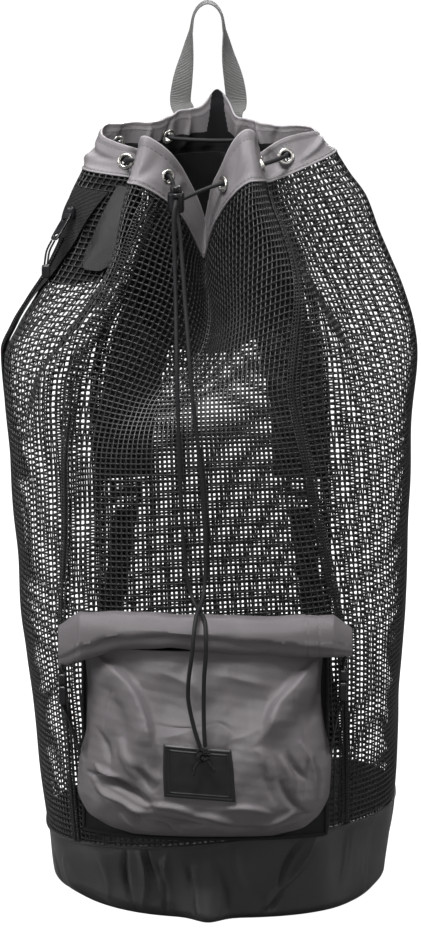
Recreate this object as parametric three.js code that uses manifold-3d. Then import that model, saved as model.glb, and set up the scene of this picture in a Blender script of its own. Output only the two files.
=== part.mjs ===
// Mesh dive gear bag: a net backpack on a cloth base, with a gathered collar and a roll-top pocket.
// Units are millimetres. Z is up, the front faces -Y, and the bag stands on the plane z = 0.
// A place round the bag is an angle in degrees from the front, growing towards +X.

import * as THREE from 'three';
import { mergeVertices } from 'three/addons/utils/BufferGeometryUtils.js';
import Module from 'manifold-3d';

const wasm = await Module();
wasm.setup();

// Driving dimensions

const bodyHalfWidth = 217;
const bodyHalfDepth = 165;
const mouthHeight = 770;
const baseHeight = 86;
const collarHeight = 47;
const netWall = 1.8;
const baseWall = 2.2;
const floorWall = 3;
const collarWall = 2;
const clearance = 0.3;
const rimGap = 0.5;

const seamStripWidth = 10;
const seamStripThickness = 1.2;
const seamStandOff = 1.1;

const cordDiameter = 4.4;
const cordSides = 8;
const grommetBore = 10;
const grommetFlange = 17;
const grommetMetal = 0.9;
const grommetStandOff = 1.1;
const grommetSides = 8;

const lockDiameter = 17;
const lockHeight = 21;
const lockWall = 2.2;
const lockButtonDiameter = 11.6;
const lockButtonProud = 7;
const lockTravel = 4;

const haulWidth = 22;
const haulThickness = 2;

const pocketHalfWidth = 124;
const pocketHeight = 196;
const pocketDepth = 44;
const pocketWall = 1.8;
const backingHalfWidth = 124;
const backingHeight = 236;
const backingThickness = 1.8;
const rollHalfLength = 151;
const rollHalfHeight = 21;
const rollHalfDepth = 20;
const patchWidth = 70;
const patchHeight = 56;
const patchThickness = 2;
const pocketStrapWidth = 20;
const pocketStrapThickness = 1.6;

const zipTapeWidth = 24;
const zipTapeThickness = 1;
const zipTeethWidth = 6;
const zipTeethThickness = 1.6;
const zipTabLength = 36;
const zipTabWidth = 9;
const zipTabThickness = 2.4;
const zipCordDiameter = 2;

const strapPadWidth = 62;
const strapPadThickness = 11;
const strapStandOff = 42;
const strapWebbingWidth = 25;
const strapWebbingThickness = 1.8;

// Section rows from the floor to the mouth: up is a share of mouthHeight, wide and shift are shares of
// bodyHalfWidth, and deep is a share of bodyHalfDepth.

const sections = [
  { up: 0.00, wide: 0.795, deep: 0.905, shift: 0.034 },
  { up: 0.09, wide: 0.843, deep: 0.935, shift: 0.031 },
  { up: 0.17, wide: 0.874, deep: 0.960, shift: 0.027 },
  { up: 0.26, wide: 0.890, deep: 0.985, shift: 0.019 },
  { up: 0.33, wide: 0.917, deep: 1.000, shift: 0.007 },
  { up: 0.40, wide: 0.940, deep: 1.000, shift: 0.002 },
  { up: 0.53, wide: 0.954, deep: 1.000, shift: -0.007 },
  { up: 0.60, wide: 0.972, deep: 1.000, shift: -0.014 },
  { up: 0.68, wide: 0.991, deep: 0.995, shift: -0.017 },
  { up: 0.74, wide: 1.000, deep: 0.970, shift: -0.012 },
  { up: 0.78, wide: 0.965, deep: 0.925, shift: 0.012 },
  { up: 0.82, wide: 0.897, deep: 0.860, shift: 0.029 },
  { up: 0.86, wide: 0.818, deep: 0.785, shift: 0.037 },
  { up: 0.90, wide: 0.762, deep: 0.710, shift: 0.031 },
  { up: 0.94, wide: 0.722, deep: 0.645, shift: 0.011 },
  { up: 0.97, wide: 0.663, deep: 0.600, shift: -0.010 },
  { up: 1.00, wide: 0.604, deep: 0.560, shift: -0.017 },
];
const bodySquareness = 2.5;
const mouthSquareness = 2.0;

// Gathers of the mouth, five lobes and five valleys, with the two flanks of the deep front valley: reach
// is a share of the mouth's radius there, and rise is a share of collarHeight by which the seam goes up.

const gathers = [
  { at: -128, reach: 0.76, rise: 0.00 },
  { at: -88, reach: 1.00, rise: 0.00 },
  { at: -63, reach: 0.66, rise: -0.10 },
  { at: -41, reach: 1.14, rise: 0.00 },
  { at: -27, reach: 0.80, rise: -0.62 },
  { at: -9, reach: 0.40, rise: -1.87 },
  { at: 6, reach: 0.72, rise: -0.90 },
  { at: 24, reach: 1.14, rise: 0.10 },
  { at: 53, reach: 0.66, rise: -0.15 },
  { at: 88, reach: 1.00, rise: 0.40 },
  { at: 128, reach: 0.76, rise: 0.00 },
  { at: 178, reach: 1.00, rise: 0.00 },
];
const grommetAngles = [-108, -73, -52, -31, 11, 40, 66, 108, 147, 216];

// The collar's height round the mouth, as a share of collarHeight: it tucks down between the lobes.
const collarTops = [
  { at: -180, tall: 1.00 },
  { at: -160, tall: 1.03 },
  { at: -128, tall: 0.86 },
  { at: -100, tall: 0.90 },
  { at: -84, tall: 0.72 },
  { at: -63, tall: 0.56 },
  { at: -52, tall: 0.78 },
  { at: -41, tall: 1.00 },
  { at: -27, tall: 0.90 },
  { at: -9, tall: 0.80 },
  { at: 8, tall: 0.90 },
  { at: 24, tall: 1.08 },
  { at: 38, tall: 0.74 },
  { at: 50, tall: 0.60 },
  { at: 66, tall: 0.72 },
  { at: 90, tall: 0.42 },
  { at: 108, tall: 0.62 },
  { at: 128, tall: 0.80 },
  { at: 155, tall: 0.88 },
  { at: 170, tall: 1.00 },
  { at: 180, tall: 1.00 },
];
const gatherStart = 0.62;
const gatherDrift = 30;
const collarLean = 0.15;
const backPeakHeight = 22;
const backPeakSpread = 9;
const backPeakAt = 174.5;

// Panel seams from the base to the mouth: up is a share of the net's height, left and right are the
// angles of the two front seams.

const frontSeams = [
  { up: 0.00, left: -54, right: 46 },
  { up: 0.30, left: -52, right: 43 },
  { up: 0.55, left: -48, right: 34 },
  { up: 0.75, left: -47, right: 29 },
  { up: 0.90, left: -41, right: 33 },
  { up: 1.00, left: -33, right: 38 },
];
const backSeamAngle = 140;

// Helpers: numbers

const radians = THREE.MathUtils.degToRad;
const mix = (from, to, share) => from + (to - from) * share;
const clamp01 = (value) => Math.min(1, Math.max(0, value));
const ease = (share) => share * share * (3 - 2 * share);

// A smooth curve through the rows of a table, read at one value of its first column. It goes level at
// each row that is a peak or a dip.
function readRows(rows, along, column, value) {
  const last = rows.length - 1;
  const place = Math.min(rows[last][along], Math.max(rows[0][along], value));
  let row = 0;
  while (row < last - 1 && rows[row + 1][along] < place) {
    row += 1;
  }
  const steepness = (index) => {
    const below = rows[index];
    const above = rows[index + 1];
    return (above[column] - below[column]) / (above[along] - below[along]);
  };
  const slope = (index) => {
    if (index === 0 || index === last) {
      return steepness(Math.min(index, last - 1));
    }
    const before = steepness(index - 1);
    const after = steepness(index);
    return before * after > 0 ? 2 * before * after / (before + after) : 0;
  };
  const here = rows[row];
  const next = rows[row + 1];
  const span = next[along] - here[along];
  const share = (place - here[along]) / span;
  const square = share * share;
  const cube = square * share;
  return here[column] * (2 * cube - 3 * square + 1) + slope(row) * span * (cube - 2 * square + share)
    + next[column] * (3 * square - 2 * cube) + slope(row + 1) * span * (cube - square);
}

// The gathers with one more turn at each end, so that they can be read at any angle.
const gathersRound = [
  { ...gathers.at(-1), at: gathers.at(-1).at - 360 },
  ...gathers,
  { ...gathers[0], at: gathers[0].at + 360 },
  { ...gathers[1], at: gathers[1].at + 360 },
];

// Reach or rise of the gathers at an angle.
function gatherValue(column, angle) {
  const turned = ((angle - gathers[0].at) % 360 + 360) % 360 + gathers[0].at;
  return readRows(gathersRound, 'at', column, turned);
}

// Helpers: the bag's outer surface

const baseRim = (angle) => baseHeight * (1 + 0.18 * Math.sin(radians(angle)) + 0.02 * Math.cos(radians(angle)));

// How much the gathers show at a height share, from none at gatherStart to all at the mouth.
const gatherShow = (up) => Math.pow(ease(clamp01((up - gatherStart) / (1 - gatherStart))), 0.9);

// Lower down, the front folds fan out to the sides.
function fannedAngle(angle, show) {
  const front = Math.max(0, Math.cos(radians(angle)));
  return angle - gatherDrift * Math.sin(radians(2 * angle)) * front * (1 - show);
}

// Point of the body at an angle and a height share of mouthHeight.
function bodyPoint(angle, up) {
  const show = gatherShow(up);
  const folded = fannedAngle(angle, show);
  const wide = readRows(sections, 'up', 'wide', up) * bodyHalfWidth;
  const deep = readRows(sections, 'up', 'deep', up) * bodyHalfDepth;
  const shift = readRows(sections, 'up', 'shift', up) * bodyHalfWidth;
  const power = mix(bodySquareness, mouthSquareness, show);
  const side = Math.sin(radians(angle));
  const front = Math.cos(radians(angle));
  const round = Math.pow(Math.pow(Math.abs(side) / wide, power) + Math.pow(Math.abs(front) / deep, power), -1 / power);
  const radius = round * (1 + show * (gatherValue('reach', folded) - 1));
  const height = up * mouthHeight + show * gatherValue('rise', folded) * collarHeight;
  return new THREE.Vector3(shift + radius * side, -radius * front, height);
}

// Point of the net at an angle and a share of the way from the base's rim to the mouth.
function netPoint(angle, share) {
  return bodyPoint(angle, mix(baseRim(angle) / mouthHeight, 1, share));
}

// Point of the collar at an angle and a share of the way from its seam to its top edge.
function collarPoint(angle, share) {
  const seam = bodyPoint(angle, 1);
  const turn = (angle - backPeakAt + 540) % 360 - 180;
  const turned = (angle + 540) % 360 - 180;
  const tall = readRows(collarTops, 'at', 'tall', turned) * collarHeight;
  const peak = backPeakHeight * Math.exp(-Math.pow(turn / backPeakSpread, 2));
  const lean = 1 - collarLean * share;
  return new THREE.Vector3(seam.x * lean, seam.y * lean, seam.z + share * tall + share * share * peak);
}

// Level direction out of the surface, square to the surface's outline at one height.
function levelOut(surface, angle, share) {
  const step = 0.05;
  const ahead = surface(angle + step, share);
  const behind = surface(angle - step, share);
  return new THREE.Vector3(ahead.y - behind.y, behind.x - ahead.x, 0).normalize();
}

// True direction out of the surface.
function straightOut(surface, angle, share) {
  const step = 0.01;
  const round = surface(angle + step, share).sub(surface(angle - step, share));
  const rise = surface(angle, share + step).sub(surface(angle, share - step));
  return new THREE.Vector3().crossVectors(round, rise).normalize();
}

// A point of the surface moved out level by a distance, or in where the distance is negative.
function offsetPoint(surface, angle, share, distance) {
  return surface(angle, share).addScaledVector(levelOut(surface, angle, share), distance);
}

// Helpers: solids

function geometryOf(points, faces) {
  const geometry = new THREE.BufferGeometry();
  geometry.setAttribute('position', new THREE.Float32BufferAttribute(points.flatMap((p) => [p.x, p.y, p.z]), 3));
  geometry.setIndex(faces);
  return geometry;
}

// Turns a closed geometry's faces outwards if its signed volume is negative.
function facingOut(geometry) {
  const place = geometry.getAttribute('position');
  const index = geometry.getIndex().array;
  const corners = [new THREE.Vector3(), new THREE.Vector3(), new THREE.Vector3()];
  let volume = 0;
  for (let face = 0; face < index.length; face += 3) {
    corners.forEach((corner, offset) => corner.fromBufferAttribute(place, index[face + offset]));
    volume += corners[0].dot(corners[1].clone().cross(corners[2]));
  }
  if (volume < 0) {
    geometry.setIndex(Array.from(index).reverse());
  }
  return geometry;
}

// Closed sheet between two grids of points, rows by columns. A sheet that wraps joins its last column
// to its first.
function sheetSolid(outer, inner, wraps) {
  const rows = outer.length;
  const columns = outer[0].length;
  const at = (side, row, column) => (side * rows + row) * columns + (column % columns);
  const faces = [];
  const quad = (a, b, c, d) => faces.push(a, b, c, a, c, d);
  const spans = wraps ? columns : columns - 1;
  for (let column = 0; column < spans; column += 1) {
    for (let row = 0; row < rows - 1; row += 1) {
      quad(at(0, row, column), at(0, row, column + 1), at(0, row + 1, column + 1), at(0, row + 1, column));
      quad(at(1, row, column), at(1, row + 1, column), at(1, row + 1, column + 1), at(1, row, column + 1));
    }
    const top = rows - 1;
    quad(at(1, 0, column), at(1, 0, column + 1), at(0, 0, column + 1), at(0, 0, column));
    quad(at(0, top, column), at(0, top, column + 1), at(1, top, column + 1), at(1, top, column));
  }
  if (!wraps) {
    const end = columns - 1;
    for (let row = 0; row < rows - 1; row += 1) {
      quad(at(0, row, 0), at(0, row + 1, 0), at(1, row + 1, 0), at(1, row, 0));
      quad(at(0, row, end), at(1, row, end), at(1, row + 1, end), at(0, row + 1, end));
    }
  }
  return facingOut(geometryOf([...outer.flat(), ...inner.flat()], faces));
}

// Closed solid through rings of points, with a fan over the first and the last ring.
function loftSolid(rings) {
  const count = rings[0].length;
  const points = rings.flat();
  const faces = [];
  for (let ring = 0; ring < rings.length - 1; ring += 1) {
    for (let corner = 0; corner < count; corner += 1) {
      const next = (corner + 1) % count;
      const low = ring * count;
      const high = low + count;
      faces.push(low + corner, low + next, high + next, low + corner, high + next, high + corner);
    }
  }
  [0, rings.length - 1].forEach((ring) => {
    const middle = rings[ring].reduce((sum, p) => sum.add(p), new THREE.Vector3()).divideScalar(count);
    const centre = points.push(middle) - 1;
    for (let corner = 0; corner < count; corner += 1) {
      const here = ring * count + corner;
      const next = ring * count + (corner + 1) % count;
      faces.push(...(ring === 0 ? [centre, next, here] : [centre, here, next]));
    }
  });
  return facingOut(geometryOf(points, faces));
}

// Shared vertices only, as a manifold solid.
function manifoldOf(geometry) {
  const plain = geometry.clone();
  plain.deleteAttribute('normal');
  plain.deleteAttribute('uv');
  const merged = facingOut(mergeVertices(plain, 1e-4));
  const place = merged.getAttribute('position');
  return new wasm.Manifold(new wasm.Mesh({
    numProp: 3,
    vertProperties: new Float32Array(place.array),
    triVerts: new Uint32Array(merged.getIndex().array),
  }));
}

function geometryFrom(solid) {
  const mesh = solid.getMesh();
  const geometry = new THREE.BufferGeometry();
  const points = [];
  for (let vertex = 0; vertex < mesh.numVert; vertex += 1) {
    const start = vertex * mesh.numProp;
    points.push(mesh.vertProperties[start], mesh.vertProperties[start + 1], mesh.vertProperties[start + 2]);
  }
  geometry.setAttribute('position', new THREE.Float32BufferAttribute(points, 3));
  geometry.setIndex(Array.from(mesh.triVerts));
  return geometry;
}

// Round bar from one point to another.
function barBetween(start, end, radius, sides) {
  const along = end.clone().sub(start);
  const geometry = new THREE.CylinderGeometry(radius, radius, along.length(), sides);
  const turn = new THREE.Quaternion().setFromUnitVectors(new THREE.Vector3(0, 1, 0), along.clone().normalize());
  const middle = start.clone().add(end).multiplyScalar(0.5);
  return geometry.applyQuaternion(turn).translate(middle.x, middle.y, middle.z);
}

// Cord along chosen points, with a step every three diameters or so.
function cordSolid(points, diameter, stepLength) {
  const path = new THREE.CatmullRomCurve3(points, false, 'centripetal');
  path.arcLengthDivisions = 40 * points.length;
  const section = new THREE.Shape();
  for (let side = 0; side < cordSides; side += 1) {
    const turn = (side + 0.5) * 2 * Math.PI / cordSides;
    const corner = [Math.cos(turn) * diameter / 2, Math.sin(turn) * diameter / 2];
    if (side === 0) {
      section.moveTo(...corner);
    } else {
      section.lineTo(...corner);
    }
  }
  section.closePath();
  const steps = Math.round(path.getLength() / stepLength);
  return new THREE.ExtrudeGeometry(section, { extrudePath: path, steps, curveSegments: 1 });
}

// Flat webbing along a path: each station has a middle, a direction across and a direction out.
function webbingSolid(stations, width, thickness) {
  const rings = stations.map(({ middle, across, out }) => [[-1, -1], [1, -1], [1, 1], [-1, 1]].map(([side, face]) => (
    middle.clone().addScaledVector(across, side * width / 2).addScaledVector(out, face * thickness / 2))));
  return loftSolid(rings);
}

const group = new THREE.Group();

function addPiece(name, geometry, colour, roughness, metalness = 0) {
  const material = new THREE.MeshStandardMaterial({ color: colour, roughness, metalness });
  const mesh = new THREE.Mesh(geometry, material);
  mesh.name = name;
  group.add(mesh);
  return mesh;
}

const netColour = 0x101012;
const baseColour = 0x3c3c40;
const collarColour = 0x8d888c;
const pocketColour = 0x767074;
const webbingColour = 0x17171a;
const haulColour = 0x787a76;
const plasticColour = 0x111113;

// Net panels

const netLevels = 9;
const levelShares = Array.from({ length: netLevels + 1 }, (_, i) => 1 - Math.pow(1 - i / netLevels, 1.4));

const seamAngles = {
  frontLeft: (share) => readRows(frontSeams, 'up', 'left', share),
  frontRight: (share) => readRows(frontSeams, 'up', 'right', share),
  backRight: () => backSeamAngle,
  backLeft: () => -backSeamAngle,
};

const netPanels = [
  { name: 'net_front', from: seamAngles.frontLeft, to: seamAngles.frontRight, turn: 0, columns: 22 },
  { name: 'net_right', from: seamAngles.frontRight, to: seamAngles.backRight, turn: 0, columns: 18 },
  { name: 'net_back', from: seamAngles.backRight, to: seamAngles.backLeft, turn: 360, columns: 12 },
  { name: 'net_left', from: seamAngles.backLeft, to: seamAngles.frontLeft, turn: 0, columns: 18 },
];

// The angles of a panel's columns at one level, its two edges held back by half the clearance.
function panelAngles(panel, share) {
  const from = panel.from(share);
  const to = panel.to(share) + panel.turn;
  const radius = netPoint(from, share).setZ(0).length();
  const hold = THREE.MathUtils.radToDeg(clearance / 2 / radius);
  return Array.from({ length: panel.columns + 1 }, (_, column) => {
    const angle = mix(from, to, column / panel.columns);
    if (column === 0) {
      return angle + hold;
    }
    return column === panel.columns ? angle - hold : angle;
  });
}

netPanels.forEach((panel) => {
  const outer = [];
  const inner = [];
  levelShares.forEach((share, level) => {
    const drop = level === 0 ? rimGap / 2 : level === netLevels ? -rimGap / 2 : 0;
    const angles = panelAngles(panel, share);
    const lift = (point) => point.setZ(point.z + drop);
    outer.push(angles.map((angle) => lift(netPoint(angle, share))));
    inner.push(angles.map((angle) => lift(offsetPoint(netPoint, angle, share, -netWall))));
  });
  addPiece(panel.name, sheetSolid(outer, inner, false), netColour, 0.55);
});

// Angles of the columns all round at the net's lower or upper edge, shared with the base and the collar.
function rimAngles(share) {
  return netPanels.flatMap((panel) => {
    const from = panel.from(share);
    const to = panel.to(share) + panel.turn;
    return Array.from({ length: panel.columns }, (_, column) => mix(from, to, column / panel.columns));
  });
}

// Doubled net over each panel seam

Object.entries({
  seam_front_left: seamAngles.frontLeft,
  seam_front_right: seamAngles.frontRight,
  seam_back_right: seamAngles.backRight,
  seam_back_left: seamAngles.backLeft,
}).forEach(([name, seamAngle]) => {
  const sheetAt = (distance) => levelShares.slice(0, netLevels).map((share, level) => {
    const angle = seamAngle(share);
    const radius = netPoint(angle, share).setZ(0).length();
    const half = THREE.MathUtils.radToDeg(seamStripWidth / 2 / radius);
    return [-half, 0, half].map((turn) => {
      const point = offsetPoint(netPoint, angle + turn, share, distance);
      return level === 0 ? point.setZ(point.z + rimGap) : point;
    });
  });
  const inside = seamStandOff;
  addPiece(name, sheetSolid(sheetAt(inside + seamStripThickness), sheetAt(inside), false), netColour, 0.5);
});

// Base: a cup of cloth whose lower edge is rounded, more so at the left front and at the right

const hemRound = 9;
const hemShare = 0.05;
const hemLifts = [
  { at: -180, lift: 4 },
  { at: -90, lift: 8 },
  { at: -55, lift: 16 },
  { at: -20, lift: 4 },
  { at: 0, lift: 0 },
  { at: 45, lift: 3 },
  { at: 85, lift: 15 },
  { at: 130, lift: 6 },
  { at: 180, lift: 4 },
];
const tipReach = 16;
const tipSpread = 7;
const tipAt = -5;

// Point of the base at an angle and a height share of its rim.
function basePoint(angle, share) {
  const turned = (angle + 540) % 360 - 180;
  const height = share * baseRim(angle);
  const point = bodyPoint(angle, height / mouthHeight);
  const round = hemRound + readRows(hemLifts, 'at', 'lift', turned);
  const under = Math.max(0, 1 - height / round);
  const pull = 1 - (hemShare + 0.004 * (round - hemRound)) * under * under;
  const tip = tipReach * Math.exp(-Math.pow((turned - tipAt) / tipSpread, 2)) * Math.pow(1 - share, 2);
  return new THREE.Vector3(point.x * pull, point.y * pull - tip, height);
}

const baseShares = [0, 0.07, 0.2, 0.5, 1];
const baseAngles = rimAngles(0);

function baseSolid() {
  const outerRings = baseShares.map((share) => baseAngles.map((angle) => {
    const point = basePoint(angle, share);
    return share === 1 ? point.setZ(point.z - rimGap / 2) : point;
  }));
  const innerShares = [floorWall / baseHeight, 0.2, 0.5, 1];
  const above = 5;
  const innerRings = innerShares.map((share) => baseAngles.map((angle) => {
    const point = offsetPoint(basePoint, angle, share, -baseWall);
    if (share === innerShares[0]) {
      return point.setZ(floorWall);
    }
    return share === 1 ? point.setZ(point.z + above) : point;
  }));
  return geometryFrom(manifoldOf(loftSolid(outerRings)).subtract(manifoldOf(loftSolid(innerRings))));
}
addPiece('base', baseSolid(), baseColour, 0.55);

// Collar with a hole on each flank between a lobe and a valley, and a metal ring in each hole

const collarAngles = rimAngles(1);
const collarShares = [0, 1];

const grommetSeats = grommetAngles.map((angle) => ({
  centre: offsetPoint(collarPoint, angle, 0.5, -collarWall / 2),
  axis: straightOut(collarPoint, angle, 0.5),
}));

function collarSolid() {
  const raise = (point, share) => (share === 0 ? point.setZ(point.z + rimGap / 2) : point);
  const outer = collarShares.map((share) => collarAngles.map((angle) => raise(collarPoint(angle, share), share)));
  const inner = collarShares.map((share) => collarAngles.map((angle) => (
    raise(offsetPoint(collarPoint, angle, share, -collarWall), share))));
  const holeRadius = grommetBore / 2 + grommetMetal + clearance;
  const reach = 6;
  return grommetSeats.reduce((solid, { centre, axis }) => {
    const start = centre.clone().addScaledVector(axis, -reach);
    const end = centre.clone().addScaledVector(axis, reach);
    return solid.subtract(manifoldOf(barBetween(start, end, holeRadius, grommetSides)));
  }, manifoldOf(sheetSolid(outer, inner, true)));
}
addPiece('collar', geometryFrom(collarSolid()), collarColour, 0.6);

grommetSeats.forEach(({ centre, axis }, index) => {
  const bore = grommetBore / 2;
  const barrel = bore + grommetMetal;
  const flange = grommetFlange / 2;
  const seat = collarWall / 2 + grommetStandOff;
  const face = seat + grommetMetal;
  const profile = [[bore, -face], [flange, -face], [flange, -seat], [barrel, -seat],
    [barrel, seat], [flange, seat], [flange, face], [bore, face], [bore, -face]];
  const geometry = new THREE.LatheGeometry(profile.map(([x, y]) => new THREE.Vector2(x, y)), grommetSides);
  geometry.applyQuaternion(new THREE.Quaternion().setFromUnitVectors(new THREE.Vector3(0, 1, 0), axis));
  geometry.translate(centre.x, centre.y, centre.z);
  addPiece(`grommet_${index + 1}`, geometryFrom(manifoldOf(geometry)), 0xb8b4ac, 0.25, 1);
});

// Drawcord: from the cord lock through the ten rings and back, inside each lobe and outside each valley

const lockPlace = new THREE.Vector3(-38, -99, 752);
const cordPitch = cordDiameter + clearance;
const cordRise = [cordPitch / 2, -cordPitch / 2];
const cordStep = 3 * cordDiameter;
const passHold = 5.2;
const lockBack = lockDiameter / 2 + 6;
const lockFront = lockDiameter / 2 + 1.5;

// The cord's way through one ring, inwards where inward is 1 and outwards where it is -1.
function passThrough(seat, inward) {
  const { centre, axis } = grommetSeats[seat];
  return [inward, -inward].map((side) => centre.clone().addScaledVector(axis, side * passHold));
}

function drawcordPoints() {
  const seats = [3, 2, 1, 0, 9, 8, 7, 6, 5, 4];
  const inRings = seats.flatMap((seat, order) => passThrough(seat, order % 2 === 0 ? 1 : -1));
  const lockEnd = (forward, rise) => lockPlace.clone().add(new THREE.Vector3(0, forward, rise));
  return [
    lockEnd(-lockFront, cordRise[0]), lockEnd(0, cordRise[0]), lockEnd(lockBack - 3, cordRise[0]),
    lockEnd(lockBack, cordRise[0]),
    ...inRings,
    lockEnd(lockBack, cordRise[1]), lockEnd(lockBack - 3, cordRise[1]), lockEnd(0, cordRise[1]),
    lockEnd(-lockFront, cordRise[1]),
  ];
}
addPiece('drawcord', cordSolid(drawcordPoints(), cordDiameter, cordStep), webbingColour, 0.7);

// Cord lock: a barrel with a button that slides in it; both cords pass through a slot in each

const slotHalfWidth = cordDiameter / 2 + clearance;
const slotHalfHeight = cordPitch / 2 + cordDiameter / 2 + clearance;

function boxAt(place, sizeX, sizeY, sizeZ) {
  return new THREE.BoxGeometry(sizeX, sizeY, sizeZ).translate(place.x, place.y, place.z);
}

function lathedAt(profile, sides, place) {
  const geometry = new THREE.LatheGeometry(profile.map(([x, y]) => new THREE.Vector2(x, y)), sides);
  return geometry.rotateX(Math.PI / 2).translate(place.x, place.y, place.z);
}

function lockBarrelSolid() {
  const outside = lockDiameter / 2;
  const low = -lockHeight / 2;
  const high = lockHeight / 2;
  const bevel = 1.5;
  const bore = lockButtonDiameter / 2 + clearance;
  const body = lathedAt([[0, low], [outside - bevel, low], [outside, low + bevel], [outside, high - bevel],
    [outside - bevel, high], [0, high]], 14, lockPlace);
  const hollow = lathedAt([[0, low + lockWall], [bore, low + lockWall], [bore, high + 1], [0, high + 1]], 14, lockPlace);
  const slot = boxAt(lockPlace, 2 * slotHalfWidth, 2 * lockDiameter, 2 * slotHalfHeight);
  return geometryFrom(manifoldOf(body).subtract(manifoldOf(hollow)).subtract(manifoldOf(slot)));
}

function lockButtonSolid() {
  const outside = lockButtonDiameter / 2;
  const low = -lockHeight / 2 + lockWall + lockTravel + clearance;
  const high = lockHeight / 2 + lockButtonProud;
  const bevel = 1.2;
  const plunger = lathedAt([[0, low], [outside, low], [outside, high - bevel], [outside - bevel, high], [0, high]],
    12, lockPlace);
  const slotPlace = lockPlace.clone().setZ(lockPlace.z + lockTravel / 2);
  const slot = boxAt(slotPlace, 2 * slotHalfWidth, 2 * lockDiameter, 2 * slotHalfHeight + lockTravel);
  return geometryFrom(manifoldOf(plunger).subtract(manifoldOf(slot)));
}
addPiece('cord_lock_barrel', lockBarrelSolid(), plasticColour, 0.35);
addPiece('cord_lock_button', lockButtonSolid(), plasticColour, 0.35);

// Cord tails: both leave the front of the lock, hang down the net and over the pocket's roll, and meet
// in a knot over the patch

const tailStarts = cordRise.map((rise) => (
  lockPlace.clone().add(new THREE.Vector3(0, -lockFront - clearance, rise))));

const tailLeftPoints = [
  [-38, -112.5, 754.3], [-38.6, -117.2, 752], [-39.8, -120, 744], [-40, -121.5, 733], [-39.5, -123, 714],
  [-38.8, -127, 690],
  [-38, -135, 660], [-37.5, -147, 630], [-37, -159, 600], [-36.5, -166, 570], [-35.5, -169.5, 540],
  [-34, -170, 500], [-32.5, -170, 455], [-30, -170, 410], [-26, -170.5, 372], [-20, -176, 352],
  [-13.5, -192, 344.5], [-8.5, -209, 339.5], [-7.5, -220.5, 325], [-7.5, -223, 305], [-9, -222.5, 285],
  [-9.5, -221, 262], [-9.5, -220, 240], [-9, -220.5, 222], [-8, -220.5, 209],
];
const tailRightPoints = [
  [-38, -111.5, 749.3], [-37.4, -113.8, 746], [-36, -115.5, 738], [-34, -118, 727], [-32.5, -122.5, 708],
  [-30.5, -130, 684],
  [-28.5, -139, 655], [-26, -150, 627], [-24, -161, 599], [-21.5, -167, 570], [-18.5, -169.5, 540],
  [-13.5, -170, 500], [-9, -170, 455], [-7, -170, 410], [-8, -170.5, 372], [-10, -177, 357],
  [-13.5, -193, 349.5], [-17, -210, 344.5], [-19.5, -222, 330], [-21.5, -225.5, 308], [-24.5, -224, 285],
  [-25.5, -221.5, 262], [-22, -220, 240], [-17.5, -220.5, 222], [-13.5, -220.5, 209],
];
const toPoints = (rows) => rows.map(([x, y, z]) => new THREE.Vector3(x, y, z));
const tailLeft = [tailStarts[0], ...toPoints(tailLeftPoints)];
const tailRight = [tailStarts[1], ...toPoints(tailRightPoints)];
addPiece('drawcord_tail_left', cordSolid(tailLeft, cordDiameter, cordStep), webbingColour, 0.7);
addPiece('drawcord_tail_right', cordSolid(tailRight, cordDiameter, cordStep), webbingColour, 0.7);

const knotPlace = new THREE.Vector3(-10.6, -220.5, 200);
const knotRadius = 8;
addPiece('drawcord_knot', new THREE.IcosahedronGeometry(knotRadius, 1).scale(1, 0.75, 1)
  .translate(knotPlace.x, knotPlace.y, knotPlace.z), webbingColour, 0.7);

// Haul loop: webbing sewn to the back of the collar, flat at its feet and edge-on over the top

const haulStandOff = 1.9;
const haulFeet = [
  { angle: 197.5 },
  { angle: 163 },
];
// The free part of the loop: rise is above the collar's top, and turn is how far the webbing has turned.
const haulRise = [
  { across: -34, rise: 5, turn: 0 },
  { across: -32, rise: 28, turn: 22 },
  { across: -27, rise: 55, turn: 55 },
  { across: -23, rise: 81, turn: 84 },
  { across: -19.5, rise: 100, turn: 90 },
  { across: -13, rise: 109, turn: 90 },
  { across: -5.5, rise: 112, turn: 90 },
  { across: 2, rise: 109, turn: 90 },
  { across: 8.5, rise: 100, turn: 90 },
  { across: 12, rise: 81, turn: 84 },
  { across: 16, rise: 55, turn: 55 },
  { across: 22, rise: 28, turn: 22 },
  { across: 24.5, rise: 5, turn: 0 },
];
const haulBehind = 10.5;
const haulSteps = 2;

function haulStations() {
  const footShares = [0.12, 0.5, 0.86];
  const foot = (angle, shares) => shares.map((share) => ({
    middle: offsetPoint(collarPoint, angle, share, haulStandOff + haulThickness / 2),
    out: levelOut(collarPoint, angle, share),
    turn: 0,
  }));
  const back = collarPoint(backPeakAt, 1).y + haulBehind;
  const top = mouthHeight + collarHeight;
  const path = new THREE.CatmullRomCurve3(haulRise.map(({ across, rise }) => (
    new THREE.Vector3(across, back, top + rise))));
  const spans = haulRise.length - 1;
  const free = Array.from({ length: spans * haulSteps + 1 }, (_, step) => {
    const row = Math.min(Math.floor(step / haulSteps), spans - 1);
    const turn = mix(haulRise[row].turn, haulRise[row + 1].turn, step / haulSteps - row);
    return { middle: path.getPoint(step / (spans * haulSteps)), turn };
  });
  const all = [
    ...foot(haulFeet[0].angle, footShares), ...free, ...foot(haulFeet[1].angle, [...footShares].reverse()),
  ];
  return all.map(({ middle, out, turn }, index) => {
    const before = all[Math.max(index - 1, 0)].middle;
    const after = all[Math.min(index + 1, all.length - 1)].middle;
    const along = after.clone().sub(before).normalize();
    const behind = out ?? new THREE.Vector3(0, 1, 0);
    const flat = new THREE.Vector3().crossVectors(along, behind).normalize();
    const deep = new THREE.Vector3().crossVectors(flat, along).normalize();
    const across = flat.clone().multiplyScalar(Math.cos(radians(turn)))
      .addScaledVector(deep, Math.sin(radians(turn)));
    return { middle, across, out: new THREE.Vector3().crossVectors(across, along).normalize() };
  });
}
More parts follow.
